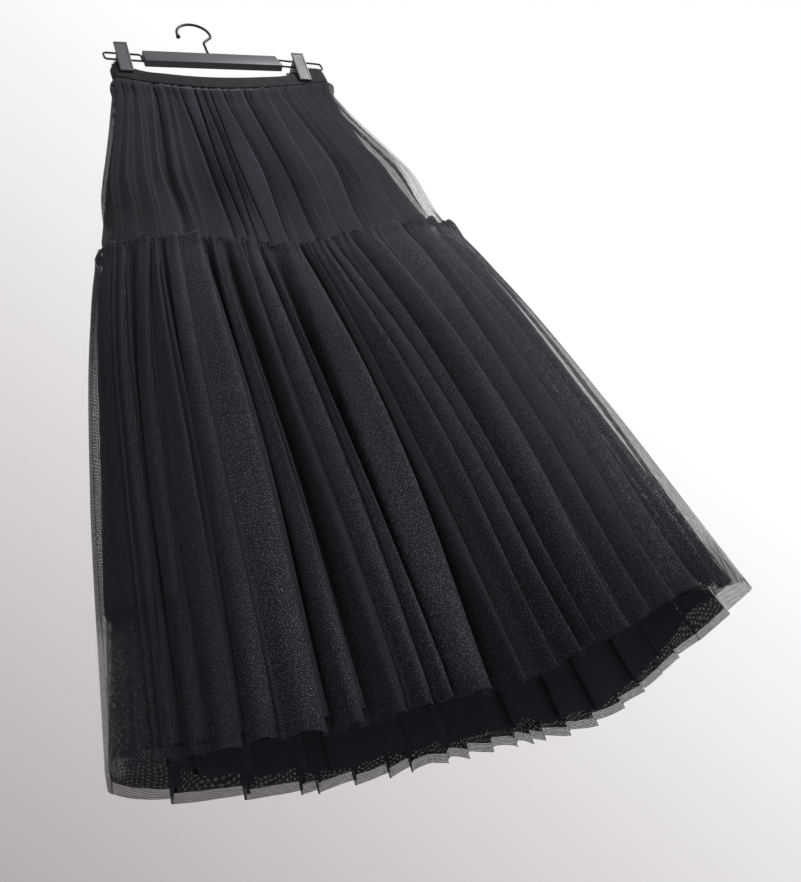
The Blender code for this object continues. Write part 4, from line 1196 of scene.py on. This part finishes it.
def cloth_sheet(name, points, finish, side, **attributes):
    """An open sheet on a grid of points, with its UV map in metres of flat cloth."""
    rows, columns, _axes = points.shape
    shape = bmesh.new()
    bmesh.ops.create_grid(shape, x_segments=columns - 1, y_segments=rows - 1, size=1.0)
    if side == BACK:
        bmesh.ops.reverse_faces(shape, faces=shape.faces)
    piece = finish_mesh(name, shape, finish)
    mesh = piece.data
    flat = np.zeros(len(mesh.vertices) * 3, np.float32)
    mesh.vertices.foreach_get("co", flat)
    flat = flat.reshape(-1, 3)
    column = np.rint((flat[:, 0] + 1) / 2 * (columns - 1)).astype(int)
    row = np.rint((1 - flat[:, 1]) / 2 * (rows - 1)).astype(int)
    mesh.vertices.foreach_set("co", points[row, column].astype(np.float32).ravel())
    across, down = flat_cut(points)
    corner = np.zeros(len(mesh.loops), np.int32)
    mesh.loops.foreach_get("vertex_index", corner)
    uv = np.stack([across[column[corner]], -down[row[corner]]], axis=1)
    mesh.uv_layers.new(name="cloth").data.foreach_set("uv", uv.astype(np.float32).ravel())
    store_values(mesh, **{label: values[row, column] for label, values in attributes.items()})
    mesh.update()
    size = (float(across[-1] - across[0]), float(down[-1]))
    print(name, "cut", [round(v, 3) for v in size], "faces", len(mesh.polygons))
    return piece, size


def hang(piece, slot, *nodes):
    """Fix a piece to the skirt's body, in place of the solids that it stands for."""
    if nodes:
        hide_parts(*nodes)
    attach(piece, "root")


print("sheets are ready to hang")

# %% [markdown]
# The upper tier is one layer of net, drawn into the waist and sewn to the lower tier. Its
# pleats are long, narrow and nearly flat.

# %% Upper tier
UPPER_LOOKS = {
    FRONT: Look(24, 56, 1.0, 0.80, 0.05, 0.0, 0.0006, 0.0008, 0.05, 0.0, 0.0, 11),
    BACK: Look(24, 56, 1.0, 0.60, 0.05, 0.0, 0.0006, 0.0008, 0.10, 0.0, 0.0, 12),
}
UPPER_FOLDS = {FRONT: UPPER_FLUTES, BACK: even_flutes(BACK_UPPER_FOLDS, 0.6, 0.72)}
UPPER_CLOSING = 0.15
LABELS = {FRONT: "front", BACK: "back"}


def make_upper_tier(side):
    """One half of the upper tier."""
    label = LABELS[side]
    folds = UPPER_FOLDS[side]
    # Crest is the light and shade painted into each point's colour.
    points, gather, crest = panel_points(UPPER_TIER, side, UPPER_ROWS, folds, side == BACK, UPPER_LOOKS[side])
    gather = np.where(gather > 0, np.clip(gather + UPPER_CLOSING, 0, 1), gather)
    finish = nets[f"upper_net_{label}"]
    piece, size = cloth_sheet(f"upper_net_{label}", points, finish, side, gather=gather, crest=crest)
    hang(piece, "net", f"upper_tier_{label}")


for side in (FRONT, BACK):
    make_upper_tier(side)

# %% [markdown]
# Where the lower tier is sewn on, its raw edge stands up as a small heading behind the domes.
# It is a narrow strip of net on a plain ring, crumpled by a few uneven waves. The side seams
# end in a knot of net, which is a ball pushed about by waves.

# %% Heading and seam knots
HEADING_STEPS = 700
HEADING_ROWS = 7
HEADING_HEIGHT = 0.0048
HEADING_FOOT = 0.002
HEADING_INSET = 0.0020
# One number for the heading: how far its net is drawn together, and its painted light.
HEADING_GATHER_AND_PAINTED_TONE = 0.35
TALL_WAVES = (5, 13, 29, 61)
SWAY_WAVES = (17, 41, 83, 121)
CURL_WAVES = (23, 59, 97)
SWAY_SIZE = 0.0022
CURL_SIZE = 0.0016
LEAN_OUT = 0.0008
Knot = namedtuple("Knot", "x radius")
KNOTS = (Knot(-0.2235, 0.0058), Knot(0.2185, 0.0050))
KNOT_CLOSING = 1.0
# The painted light of the knots.
KNOT_PAINTED_TONE = 0.15


def uneven(along, turns, chance):
    """Waves of several lengths added up, from about -1 to 1."""
    return sum(np.sin(2 * math.pi * turn * along + chance.uniform(0, 6.28)) for turn in turns) / len(turns)


def make_heading(side):
    """The crumpled edge along one half of the seam."""
    chance = np.random.default_rng(91 + side)
    along = np.linspace(0, 1, HEADING_STEPS)
    x, y = read_outline(level_outline(SEAM, side, HEADING_INSET, HEADING_INSET), along)
    foot = seam_z(x, side) - HEADING_FOOT
    crumple = np.clip(0.05 + 1.3 * uneven(along, TALL_WAVES, chance), 0.0, 1.3)
    tall = HEADING_FOOT + HEADING_HEIGHT * (0.6 + 0.6 * along) * crumple
    sway = uneven(along, SWAY_WAVES, chance)
    curl = uneven(along, CURL_WAVES, chance)
    at_sides = 1 - np.abs(2 * along - 1) ** 12
    points = []
    for up in np.linspace(1, 0, HEADING_ROWS):
        out = SWAY_SIZE * sway * up + CURL_SIZE * curl * up**2 + LEAN_OUT * up
        points.append(np.stack([x + SKIRT_X, y + side * out * at_sides, foot + tall * up], axis=1))
    # The same number gives the heading's gather and its painted light.
    tone = np.full((HEADING_ROWS, HEADING_STEPS), HEADING_GATHER_AND_PAINTED_TONE)
    name = f"heading_{LABELS[side]}"
    piece, _size = cloth_sheet(name, np.array(points), nets["frill_net"], side, gather=tone, crest=tone)
    hang(piece, "net")
    return piece


def make_knot(number, knot):
    """A crumpled end of the seam, taller than it is deep."""
    shape = bmesh.new()
    bmesh.ops.create_icosphere(shape, subdivisions=4, radius=1.0)
    for vert in shape.verts:
        spot = vert.co * 3.1
        crumple = math.sin(2.1 * spot.x + 1.7 * spot.z + number) * math.cos(2.6 * spot.y + 1.1 * spot.z)
        crumple += 0.6 * math.sin(5.3 * spot.z + 2.2 * spot.x) * math.sin(4.1 * spot.y + number)
        vert.co *= knot.radius * (0.80 + 0.22 * crumple)
        vert.co.z *= 1.25
        vert.co.y *= 0.8
    height = float(seam_z(np.array([knot.x]), FRONT)[0]) + 0.001
    bmesh.ops.translate(shape, verts=shape.verts, vec=(knot.x + SKIRT_X, SEAM.seam_y, height))
    cloth = shape.loops.layers.uv.new("cloth")
    for face in shape.faces:
        for loop in face.loops:
            loop[cloth].uv = (loop.vert.co.x + 0.6 * loop.vert.co.y, loop.vert.co.z)
    piece = finish_mesh(f"seam_knot_{number}", shape, nets["frill_net"])
    everywhere = np.ones(len(piece.data.vertices))
    store_values(piece.data, gather=KNOT_CLOSING * everywhere, crest=KNOT_PAINTED_TONE * everywhere)
    hang(piece, "net")
    return piece


headings = {side: make_heading(side) for side in (FRONT, BACK)}
knots = [make_knot(number, knot) for number, knot in enumerate(KNOTS)]
print("headings and knots made:", len(headings), "and", len(knots))

# %% [markdown]
# The lower tier is wider, so it hangs in deep flutes. At the front they stay round down to
# the hem. At the back they are pressed flat, one over the other, and their corners show as
# teeth along the hem. A second ply lies just inside and ends a finger's width higher, which
# is why the last stretch of the hem looks lighter.

# %% Lower tier
LOWER_LOOKS = {
    FRONT: Look(30, 92, 1.5, 0.45, 0.20, 0.45, 0.0016, 0.0010, 0.06, 0.0012, 0.0125, 23),
    BACK: Look(26, 76, 1.4, 0.55, 0.02, 0.0, 0.0008, 0.0010, 0.04, 0.0008, 0.0060, 37),
}
LOWER_FOLDS = {FRONT: LOWER_FLUTES, BACK: pressed_flutes()}
INNER_ROWS = {FRONT: SECOND_ROWS, BACK: SECOND_ROWS[:-1] + SECOND_BACK_FOOT}
INNER_FEWER_ROWS = 24
INNER_SINGLE = {FRONT: 0.25, BACK: -2.9}


def make_lower_tier(side):
    """One half of the lower tier, with the ply inside it."""
    label = LABELS[side]
    folds = LOWER_FOLDS[side]
    look = LOWER_LOOKS[side]
    # Crest is the light and shade painted into each point's colour.
    points, gather, crest = panel_points(LOWER_TIER, side, LOWER_ROWS, folds, False, look)
    finish = nets[f"outer_net_{label}"]
    piece, size = cloth_sheet(f"lower_net_{label}", points, finish, side, gather=gather, crest=crest)
    hang(piece, "net", f"lower_tier_{label}")

    look = look._replace(rows=look.rows - INNER_FEWER_ROWS, dome=0.0, packing=1.0)
    points, gather, crest = panel_points(LOWER_TIER, side, INNER_ROWS[side], folds, False, look)
    gather = np.where(gather < 0, INNER_SINGLE[side], gather)
    finish = nets[f"second_net_{label}"]
    inner, size = cloth_sheet(f"second_ply_{label}", points, finish, side, gather=gather, crest=crest)
    hang(inner, "net")


for side in (FRONT, BACK):
    make_lower_tier(side)

# %% [markdown]
# Under the outer net hang the under layer, which stiffens the flutes, and the lining, which
# is what makes the skirt opaque. Both are cut narrower than the net, so that it stands clear
# of them at the side seams, and the lining is also shorter.

# %% Under layer and lining
UNDER_LOOK = Look(22, 56, 1.0, 0.50, 0.20, 0.0, 0.0012, 0.0, 0.10, 0.0016, 0.0, 51)
LINING_LOOK = Look(16, 44, 1.0, 0.40, 0.20, 0.0, 0.0004, 0.0, 0.10, 0.0, 0.0, 71)
UNDER_SINGLE = -6.8
# The under layer's painted light is this share of the flutes' painted light.
UNDER_PAINTED_TONE = 0.3
LINING_THICKNESS = 0.0005


def thicken(piece, name, thickness):
    """Give a sheet a thickness, inwards from its outside."""
    wall = piece.modifiers.new(name, "SOLIDIFY")
    wall.thickness = thickness
    wall.offset = -1.0


def make_under_layer(side):
    """One half of the net under layer."""
    label = LABELS[side]
    look = UNDER_LOOK._replace(seed=UNDER_LOOK.seed + side)
    folds = even_flutes(UNDER_FOLDS, 0.9 + side)
    points, gather, crest = panel_points(LOWER_TIER, side, UNDER_ROWS, folds, True, look)
    on_right = np.arange(gather.shape[1]) > gather.shape[1] / 2
    gather = np.where(on_right & (gather < 0), UNDER_SINGLE, np.maximum(gather, 0.0))
    finish = nets[f"under_net_{label}"]
    name = f"under_net_{label}"
    piece, size = cloth_sheet(name, points, finish, side, gather=gather, crest=UNDER_PAINTED_TONE * crest)
    hang(piece, "net", f"under_layer_{label}")


def make_lining_panel(side):
    """One half of the lining, from the waist to above the hem."""
    label = LABELS[side]
    look = LINING_LOOK._replace(seed=LINING_LOOK.seed + side)
    folds = even_flutes(LINING_FOLDS, 2.0)
    above = panel_points(UPPER_TIER, side, LINING_UPPER_ROWS, folds, True, look)[0]
    below = panel_points(LOWER_TIER, side, LINING_LOWER_ROWS, folds, True, look)[0]
    points = np.concatenate([above, below])
    piece, size = cloth_sheet(f"lining_cloth_{label}", points, lining_cloth, side)
    thicken(piece, "cloth_thickness", LINING_THICKNESS)
    hang(piece, "lining", f"lining_{label}")


for side in (FRONT, BACK):
    make_under_layer(side)
    make_lining_panel(side)

# %% [markdown]
# The waist is a wide elastic inside a casing. It is one closed loop, so it starts as a circle
# that is extruded downwards, ring after ring, and each ring is then laid on the band's
# outline. Between the clips it sags, and the pull of the elastic puckers its surface.

# %% Waistband
BAND_STEPS = 420
BAND_RINGS = 12
BAND_WALL = 0.0026
PUCKERS = 74
PUCKER_DEPTH = 0.00022
BAND_ROLL = 0.0006
BAND_END_ROLL = 0.002
BAND_HEIGHT = 0.0235
band_half = {side: band_outline(side, 0.0, 0.0) for side in (FRONT, BACK)}


def band_surface(fraction, down):
    """A point of the band's outside: fraction is round the loop, down is from its top."""
    side = FRONT if fraction < 0.5 else BACK
    place = 2 * fraction if side == FRONT else 2 * (1 - fraction)
    x, y = (float(value[0]) for value in read_outline(band_half[side], [place]))
    top, foot = (float(band_column(edge, np.array([x]))[0]) for edge in ("top", "foot"))
    belly = math.sin(math.pi * down) ** 0.5
    drift = 1.3 * math.sin(9.0 * fraction + 4.0 * down)
    pucker = 0.5 + 0.5 * math.sin(2 * math.pi * PUCKERS * fraction + drift)
    reach = max(abs(y), SHALLOWEST)
    scale = (reach - (1 - belly) * BAND_ROLL - PUCKER_DEPTH * pucker * belly) / reach
    x = x * (1 - BAND_END_ROLL * (1 - belly)) + SKIRT_X
    return Vector((x, y * scale, CORNER_Z + top + (foot - top) * down))


def make_waistband():
    """The elastic casing, as a loop with an outside and an inside."""
    shape = bmesh.new()
    order = shape.verts.layers.int.new("order")
    down_layer = shape.verts.layers.float.new("down")
    cloth = shape.loops.layers.uv.new("cloth")
    ring = bmesh.ops.create_circle(shape, segments=BAND_STEPS, radius=1.0)["verts"]
    ring.sort(key=lambda vert: math.atan2(vert.co.y, vert.co.x) % (2 * math.pi))
    for number, vert in enumerate(ring):
        vert[order] = number
    edges = list(shape.edges)
    rings = [ring]
    for _ring in range(BAND_RINGS):
        grown = bmesh.ops.extrude_edge_only(shape, edges=edges)["geom"]
        edges = [item for item in grown if isinstance(item, bmesh.types.BMEdge)]
        rings.append([item for item in grown if isinstance(item, bmesh.types.BMVert)])
    for level, verts in enumerate(rings):
        for vert in verts:
            vert[down_layer] = level / BAND_RINGS
            vert.co = band_surface(vert[order] / BAND_STEPS, level / BAND_RINGS)
    round_length = 4 * BAND[-1].x
    for face in shape.faces:
        places = [loop.vert[order] for loop in face.loops]
        wraps = max(places) - min(places) > BAND_STEPS / 2
        for loop, place in zip(face.loops, places):
            place = place + BAND_STEPS if wraps and place < BAND_STEPS / 2 else place
            loop[cloth].uv = (place / BAND_STEPS * round_length, -BAND_HEIGHT * loop.vert[down_layer])
    bmesh.ops.recalc_face_normals(shape, faces=shape.faces)
    if sum(face.normal.y * face.calc_center_median().y for face in shape.faces) < 0:
        bmesh.ops.reverse_faces(shape, faces=shape.faces)
    piece = finish_mesh("waistband_cloth", shape, elastic_cloth)
    thicken(piece, "casing", BAND_WALL)
    hang(piece, "elastic", "waistband")


make_waistband()
print("waistband rings:", BAND_RINGS + 1)

# %% [markdown]
# Now the hanger. Its plastic is satin black, with a fine moulded grain and small scuffs a
# little lighter. Its wires are black-plated steel, with faint drawing marks along them.

# %% Hanger materials
PLASTIC_DARK = (0.060, 0.060, 0.070)
PLASTIC_LIGHT = (0.088, 0.088, 0.100)
SCUFF_COLOUR = (0.15, 0.15, 0.165)
SCUFF_AMOUNT = 0.35
WIRE_MARKS = (120.0, 1600.0, 900.0)
Metal = namedtuple("Metal", "dark light roughness metallic")
BLACK_PLATE = Metal((0.030, 0.029, 0.030), (0.075, 0.072, 0.075), 0.34, 0.85)
PLAIN_STEEL = Metal((0.36, 0.36, 0.38), (0.60, 0.60, 0.62), 0.28, 1.0)


def object_vector(tree):
    """The object's own coordinates, in metres."""
    return node(tree, "ShaderNodeTexCoord").outputs["Object"]


def make_plastic():
    """Satin moulded plastic: grain in the bump, cloudy gloss and small scuffs."""
    made, tree, shader = new_material("satin_plastic")
    place = object_vector(tree)
    cloud = noise(tree, place, 60.0, 3.0)
    scuff = remap(tree, noise(tree, place, 420.0, 4.0), 0.62, 0.74)
    base = mix_colour(tree, cloud, PLASTIC_DARK, PLASTIC_LIGHT)
    feeds = {
        "Base Color": mix_colour(tree, maths(tree, "MULTIPLY", scuff, SCUFF_AMOUNT), base, SCUFF_COLOUR),
        "Roughness": remap(tree, cloud, 0.25, 0.75, 0.50, 0.36),
        "Normal": bump(tree, noise(tree, place, 2600.0), 0.25, 0.00008),
    }
    feed(tree, shader, feeds)
    return made


def make_wire(name, metal):
    """Drawn wire: long marks along it in its gloss and tone."""
    made, tree, shader = new_material(name)
    place = object_vector(tree)
    marks = noise(tree, stretched(tree, place, WIRE_MARKS), 1.0, 3.0)
    gloss = (metal.roughness + 0.10, metal.roughness - 0.06)
    feeds = {
        "Base Color": mix_colour(tree, marks, metal.dark, metal.light),
        "Roughness": remap(tree, noise(tree, place, 180.0), 0.25, 0.75, *gloss),
        "Normal": bump(tree, marks, 0.2, 0.00005),
        "Metallic": metal.metallic,
    }
    feed(tree, shader, feeds)
    return made


satin_plastic = make_plastic()
black_wire = make_wire("black_plated_wire", BLACK_PLATE)
steel_wire = make_wire("spring_steel", PLAIN_STEEL)
print("hanger materials ready")

# %% [markdown]
# The hook and the two rails are bent wires. A wire is a circle carried along a route, with
# each ring bridged to the last one and the two ends filled. The route's bends are arcs, so
# that the wire has an even radius in every bend.

# %% Bent wires
WIRE_SIDES = 20
WIRE_ANGLE = 50


def arc(centre, radius, start, end, steps):
    """Points of an arc, by its angle in degrees from the first axis."""
    places = []
    for step in range(steps + 1):
        angle = math.radians(start + (end - start) * step / steps)
        places.append((centre[0] + radius * math.cos(angle), centre[1] + radius * math.sin(angle)))
    return places


def sweep(shape, route, radii, sides):
    """Carry a circle along a route, bridge its rings and fill both ends."""
    rings = []
    count = len(route)
    normal = Vector((0.0, 1.0, 0.0))
    for number, place in enumerate(route):
        ahead = Vector(route[min(number + 1, count - 1)]) - Vector(route[max(number - 1, 0)])
        ahead.normalize()
        normal = (normal - ahead * normal.dot(ahead)).normalized()
        across = ahead.cross(normal)
        turn = Matrix((across, normal, ahead)).transposed().to_4x4()
        matrix = Matrix.Translation(place) @ turn
        made = bmesh.ops.create_circle(shape, segments=sides, radius=radii[number], matrix=matrix)
        verts = made["verts"]
        rings.append({edge for vert in verts for edge in vert.link_edges})
    for first, second in zip(rings, rings[1:]):
        bmesh.ops.bridge_loops(shape, edges=list(first | second))
    for ring in (rings[0], rings[-1]):
        bmesh.ops.holes_fill(shape, edges=list(ring), sides=0)


def make_wire_piece(name, route, radii, finish, slot, node_name, sides=WIRE_SIDES):
    """A piece of swept wire."""
    shape = bmesh.new()
    sweep(shape, route, radii, sides)
    bmesh.ops.recalc_face_normals(shape, faces=shape.faces)
    piece = finish_mesh(name, shape, finish, WIRE_ANGLE)
    hang(piece, slot, node_name)
    print(name, "faces", len(piece.data.polygons))


print("a wire has", WIRE_SIDES, "sides")

# %% [markdown]
# The hook has a straight shank that is seated in the bar, a rounded kink and most of a circle,
# with a ball on its tip. It is one route, and the ball is a table of radii along its end.

# %% Hook
# Pieces that would only touch stay this far apart.
GAP = 0.0003
BAR_CENTRE_X = 0.013
BAR_LENGTH = 0.188
BAR_DEPTH = 0.010
BAR_HEIGHT = 0.0210
BAR_TOP_Z = -0.0680
BAR_SLANT = 0.005
HOOK_WIRE_RADIUS = 0.00175
HOOK_RADIUS = 0.0228
HOOK_SHANK_X = 0.0090
HOOK_SHANK_TOP_Z = -0.0385
HOOK_SEAT = 0.012
HOOK_SHANK_STEPS = 12
HOOK_KINK = 0.004
HOOK_KINK_STEPS = 8
HOOK_JOIN_ANGLE = -12
HOOK_TIP_ANGLE = 187
HOOK_STEPS = 72
SAME_PLACE = 1e-4
Ball = namedtuple("Ball", "drop radius")
HOOK_BALL = (
    Ball(0.0003, 0.0019),
    Ball(0.0006, 0.0023),
    Ball(0.0013, 0.0028),
    Ball(0.0022, 0.0030),
    Ball(0.0032, 0.0030),
    Ball(0.0040, 0.0028),
    Ball(0.0048, 0.0023),
    Ball(0.0054, 0.0013),
)


def make_hook():
    """A straight shank, a rounded kink and most of a circle, with a ball on its tip."""
    ring_centre = (0.0, HOOK_WIRE_RADIUS - HOOK_RADIUS)
    ring = arc(ring_centre, HOOK_RADIUS, HOOK_JOIN_ANGLE, HOOK_TIP_ANGLE, HOOK_STEPS)
    foot_z = BAR_TOP_Z - HOOK_SEAT + GAP
    flat = []
    for step in range(HOOK_SHANK_STEPS):
        flat.append((HOOK_SHANK_X, foot_z + (HOOK_SHANK_TOP_Z - foot_z) * step / HOOK_SHANK_STEPS))
    corner = Vector((HOOK_SHANK_X, HOOK_SHANK_TOP_Z))
    before = Vector((HOOK_SHANK_X, HOOK_SHANK_TOP_Z - HOOK_KINK))
    after = corner + (Vector(ring[0]) - corner).normalized() * HOOK_KINK
    for step in range(HOOK_KINK_STEPS + 1):
        part = step / HOOK_KINK_STEPS
        flat.append(tuple((1 - part) ** 2 * before + 2 * part * (1 - part) * corner + part**2 * after))
    flat += ring
    apart = [True] + [math.dist(first, second) > SAME_PLACE for first, second in zip(flat, flat[1:])]
    flat = [place for place, kept in zip(flat, apart) if kept]
    radii = [HOOK_WIRE_RADIUS] * len(flat)
    tip_x, tip_z = flat[-1]
    for ball in HOOK_BALL:
        flat.append((tip_x, tip_z - ball.drop))
        radii.append(ball.radius)
    route = [(x, 0.0, z) for x, z in flat]
    make_wire_piece("hook_wire", route, radii, black_wire, "wire", "hanger_hook")


make_hook()

# %% [markdown]
# Each rail is a loop of wire that slides in two bores of the bar and carries a clip. It slopes
# a little past the bar's end. The left one ends beside its lower wire, and the right one goes
# back into the upper bore.

# %% Rails
WIRE_RADIUS = 0.0013
RAIL_SPACING = 0.0130
RAIL_TURN_RADIUS = 0.004
BORE_DEPTH = 0.034
RAIL_Z = BAR_TOP_Z - 0.5 * BAR_HEIGHT + 0.0010
RAIL_BEND = 0.002
Rail = namedtuple("Rail", "name direction reach slope returns")
LEFT_RAIL = Rail("left", -1, 0.050, 0.050, False)
RIGHT_RAIL = Rail("right", 1, 0.060, -0.095, True)


def rail_z(rail, x):
    """Height of a rail's middle line at x: level in the bar, sloping past its end."""
    bend_x = BAR_CENTRE_X + rail.direction * (0.5 * BAR_LENGTH + RAIL_BEND)
    return RAIL_Z + max((x - bend_x) * rail.direction, 0.0) * rail.slope


def make_rail(rail):
    """A wire rail: out along the lower bore, round its end and back above."""
    half = 0.5 * RAIL_SPACING
    straight = half - RAIL_TURN_RADIUS
    turn_out = rail.reach - RAIL_TURN_RADIUS
    inside = RAIL_BEND - BORE_DEPTH
    flat = [(inside, -half), (RAIL_BEND, -half)]
    flat += arc((turn_out, -straight), RAIL_TURN_RADIUS, -90, 0, 10)
    flat += arc((turn_out, straight), RAIL_TURN_RADIUS, 0, 90, 10)
    if rail.returns:
        flat += [(RAIL_BEND, half), (inside, half)]
    else:
        near = RAIL_BEND + RAIL_TURN_RADIUS
        flat += arc((near, straight), RAIL_TURN_RADIUS, 90, 180, 8)
        flat.append((RAIL_BEND, -half + 2 * WIRE_RADIUS + GAP))
    end_x = BAR_CENTRE_X + rail.direction * 0.5 * BAR_LENGTH
    route = []
    for out, height in flat:
        x = end_x + rail.direction * out
        route.append((x, 0.0, rail_z(rail, x) + height))
    radii = [WIRE_RADIUS] * len(route)
    make_wire_piece(f"rail_wire_{rail.name}", route, radii, black_wire, "wire", f"rail_{rail.name}")


for rail in (LEFT_RAIL, RIGHT_RAIL):
    make_rail(rail)

# %% [markdown]
# The bar is one moulding. It starts as a cube that is scaled to size, its right end slants,
# and a bevel of three segments rounds its edges.

# %% Bar
BAR_BEVEL = 0.0008
BEVEL_SEGMENTS = 3
MOULDED_ANGLE = 30


def cube(size):
    """A cube scaled to a length, a depth and a height."""
    shape = bmesh.new()
    bmesh.ops.create_cube(shape, size=1.0)
    bmesh.ops.scale(shape, vec=size, verts=shape.verts)
    return shape


def round_edges(shape, width):
    """Bevel all edges of a shape."""
    edges = list(shape.edges)
    kind = {"affect": "EDGES", "profile": 0.5, "material": -1}
    bmesh.ops.bevel(shape, geom=edges, offset=width, segments=BEVEL_SEGMENTS, **kind)


def hang_moulding(name, shape, node_name):
    """Finish a piece of plastic, and hang it in place of its solid."""
    hang(finish_mesh(name, shape, satin_plastic, MOULDED_ANGLE), "plastic", node_name)


def make_bar():
    """The moulded bar."""
    shape = cube((BAR_LENGTH, BAR_DEPTH, BAR_HEIGHT))
    for vert in shape.verts:
        if vert.co.x > 0 and vert.co.z > 0:
            vert.co.x -= BAR_SLANT
    round_edges(shape, BAR_BEVEL)
    place = (BAR_CENTRE_X, 0.0, BAR_TOP_Z - 0.5 * BAR_HEIGHT)
    bmesh.ops.translate(shape, vec=place, verts=shape.verts)
    hang_moulding("bar_moulding", shape, "hanger_bar")


make_bar()
print("bar made")

# %% [markdown]
# A clip is two leaning plates round a block that slides on the lower wire, pressed together
# at their lips by a small coil spring. Each plate has a sunk face inside a raised rim. The
# spring is a wire swept along a helix.

# %% Clips
Clip = namedtuple("Clip", "rail x lip_z")
CLIPS = (
    Clip(LEFT_RAIL, -0.1108, CORNER_Z - 0.0180),
    Clip(RIGHT_RAIL, 0.1280, CORNER_Z - 0.0255),
)
PLATE_WIDTH = 0.0170
PLATE_HEIGHT = 0.0485
PLATE_THICKNESS = 0.0024
PLATE_LEAN = math.radians(9.0)
PLATE_RIM = 0.0016
PLATE_RIM_SLOPE = 0.0004
PLATE_RIM_DEPTH = 0.0007
PLATE_BEVEL = 0.0006
LIP_HALF_DEPTH = 0.0075
BLOCK_WIDTH = 0.0120
BLOCK_HEIGHT = 0.0090
SPRING_LENGTH = 0.0220
SPRING_RADIUS = 0.0022
SPRING_WIRE = 0.0004
SPRING_TURNS = 14
SPRING_STEPS = 16
SPRING_SIDES = 8


def make_plate(clip, facing):
    """One jaw of a clip."""
    shape = cube((PLATE_WIDTH, PLATE_THICKNESS, PLATE_HEIGHT))
    lift = (0.0, 0.5 * PLATE_THICKNESS * facing, 0.5 * PLATE_HEIGHT)
    bmesh.ops.translate(shape, vec=lift, verts=shape.verts)
    round_edges(shape, PLATE_BEVEL)
    outer = max(shape.faces, key=lambda face: face.normal.y * facing * face.calc_area())
    for width in (PLATE_RIM, PLATE_RIM_SLOPE):
        bmesh.ops.inset_region(shape, faces=[outer], thickness=width, depth=0.0)
    bmesh.ops.translate(shape, vec=(0.0, -facing * PLATE_RIM_DEPTH, 0.0), verts=list(outer.verts))
    lean = Matrix.Rotation(-facing * PLATE_LEAN, 3, "X")
    bmesh.ops.rotate(shape, matrix=lean, verts=shape.verts)
    bmesh.ops.translate(shape, vec=(clip.x, facing * LIP_HALF_DEPTH, clip.lip_z), verts=shape.verts)
    end = f"{LABELS[facing]}_{clip.rail.name}"
    hang_moulding(f"clip_plate_{end}", shape, f"clip_{end}")


def make_block(clip, low_wire_z):
    """The block between the plates, sloped to lie against them."""
    shape = cube((1.0, 1.0, 1.0))
    for vert in shape.verts:
        height = low_wire_z + vert.co.z * BLOCK_HEIGHT
        slope = (height - clip.lip_z) * math.tan(PLATE_LEAN)
        half_depth = LIP_HALF_DEPTH + slope - GAP / math.cos(PLATE_LEAN)
        vert.co = (clip.x + vert.co.x * BLOCK_WIDTH, math.copysign(half_depth, vert.co.y), height)
    round_edges(shape, PLATE_BEVEL)
    hang_moulding(f"clip_slider_{clip.rail.name}", shape, f"clip_block_{clip.rail.name}")


def make_spring(clip, low_wire_z):
    """A coil of steel wire along X, under the block."""
    centre_z = low_wire_z - 0.5 * BLOCK_HEIGHT - GAP - SPRING_RADIUS
    reach = SPRING_RADIUS - SPRING_WIRE
    steps = SPRING_TURNS * SPRING_STEPS
    route = []
    for step in range(steps + 1):
        angle = 2 * math.pi * step / SPRING_STEPS
        x = clip.x + (step / steps - 0.5) * (SPRING_LENGTH - 2 * SPRING_WIRE)
        route.append((x, reach * math.cos(angle), centre_z + reach * math.sin(angle)))
    radii = [SPRING_WIRE] * len(route)
    name = clip.rail.name
    coil = f"spring_coil_{name}"
    make_wire_piece(coil, route, radii, steel_wire, "spring", f"clip_spring_{name}", SPRING_SIDES)


for clip in CLIPS:
    for facing in (FRONT, BACK):
        make_plate(clip, facing)
    wire_z = rail_z(clip.rail, clip.x) - 0.5 * RAIL_SPACING
    make_block(clip, wire_z)
    make_spring(clip, wire_z)
print("clips made")
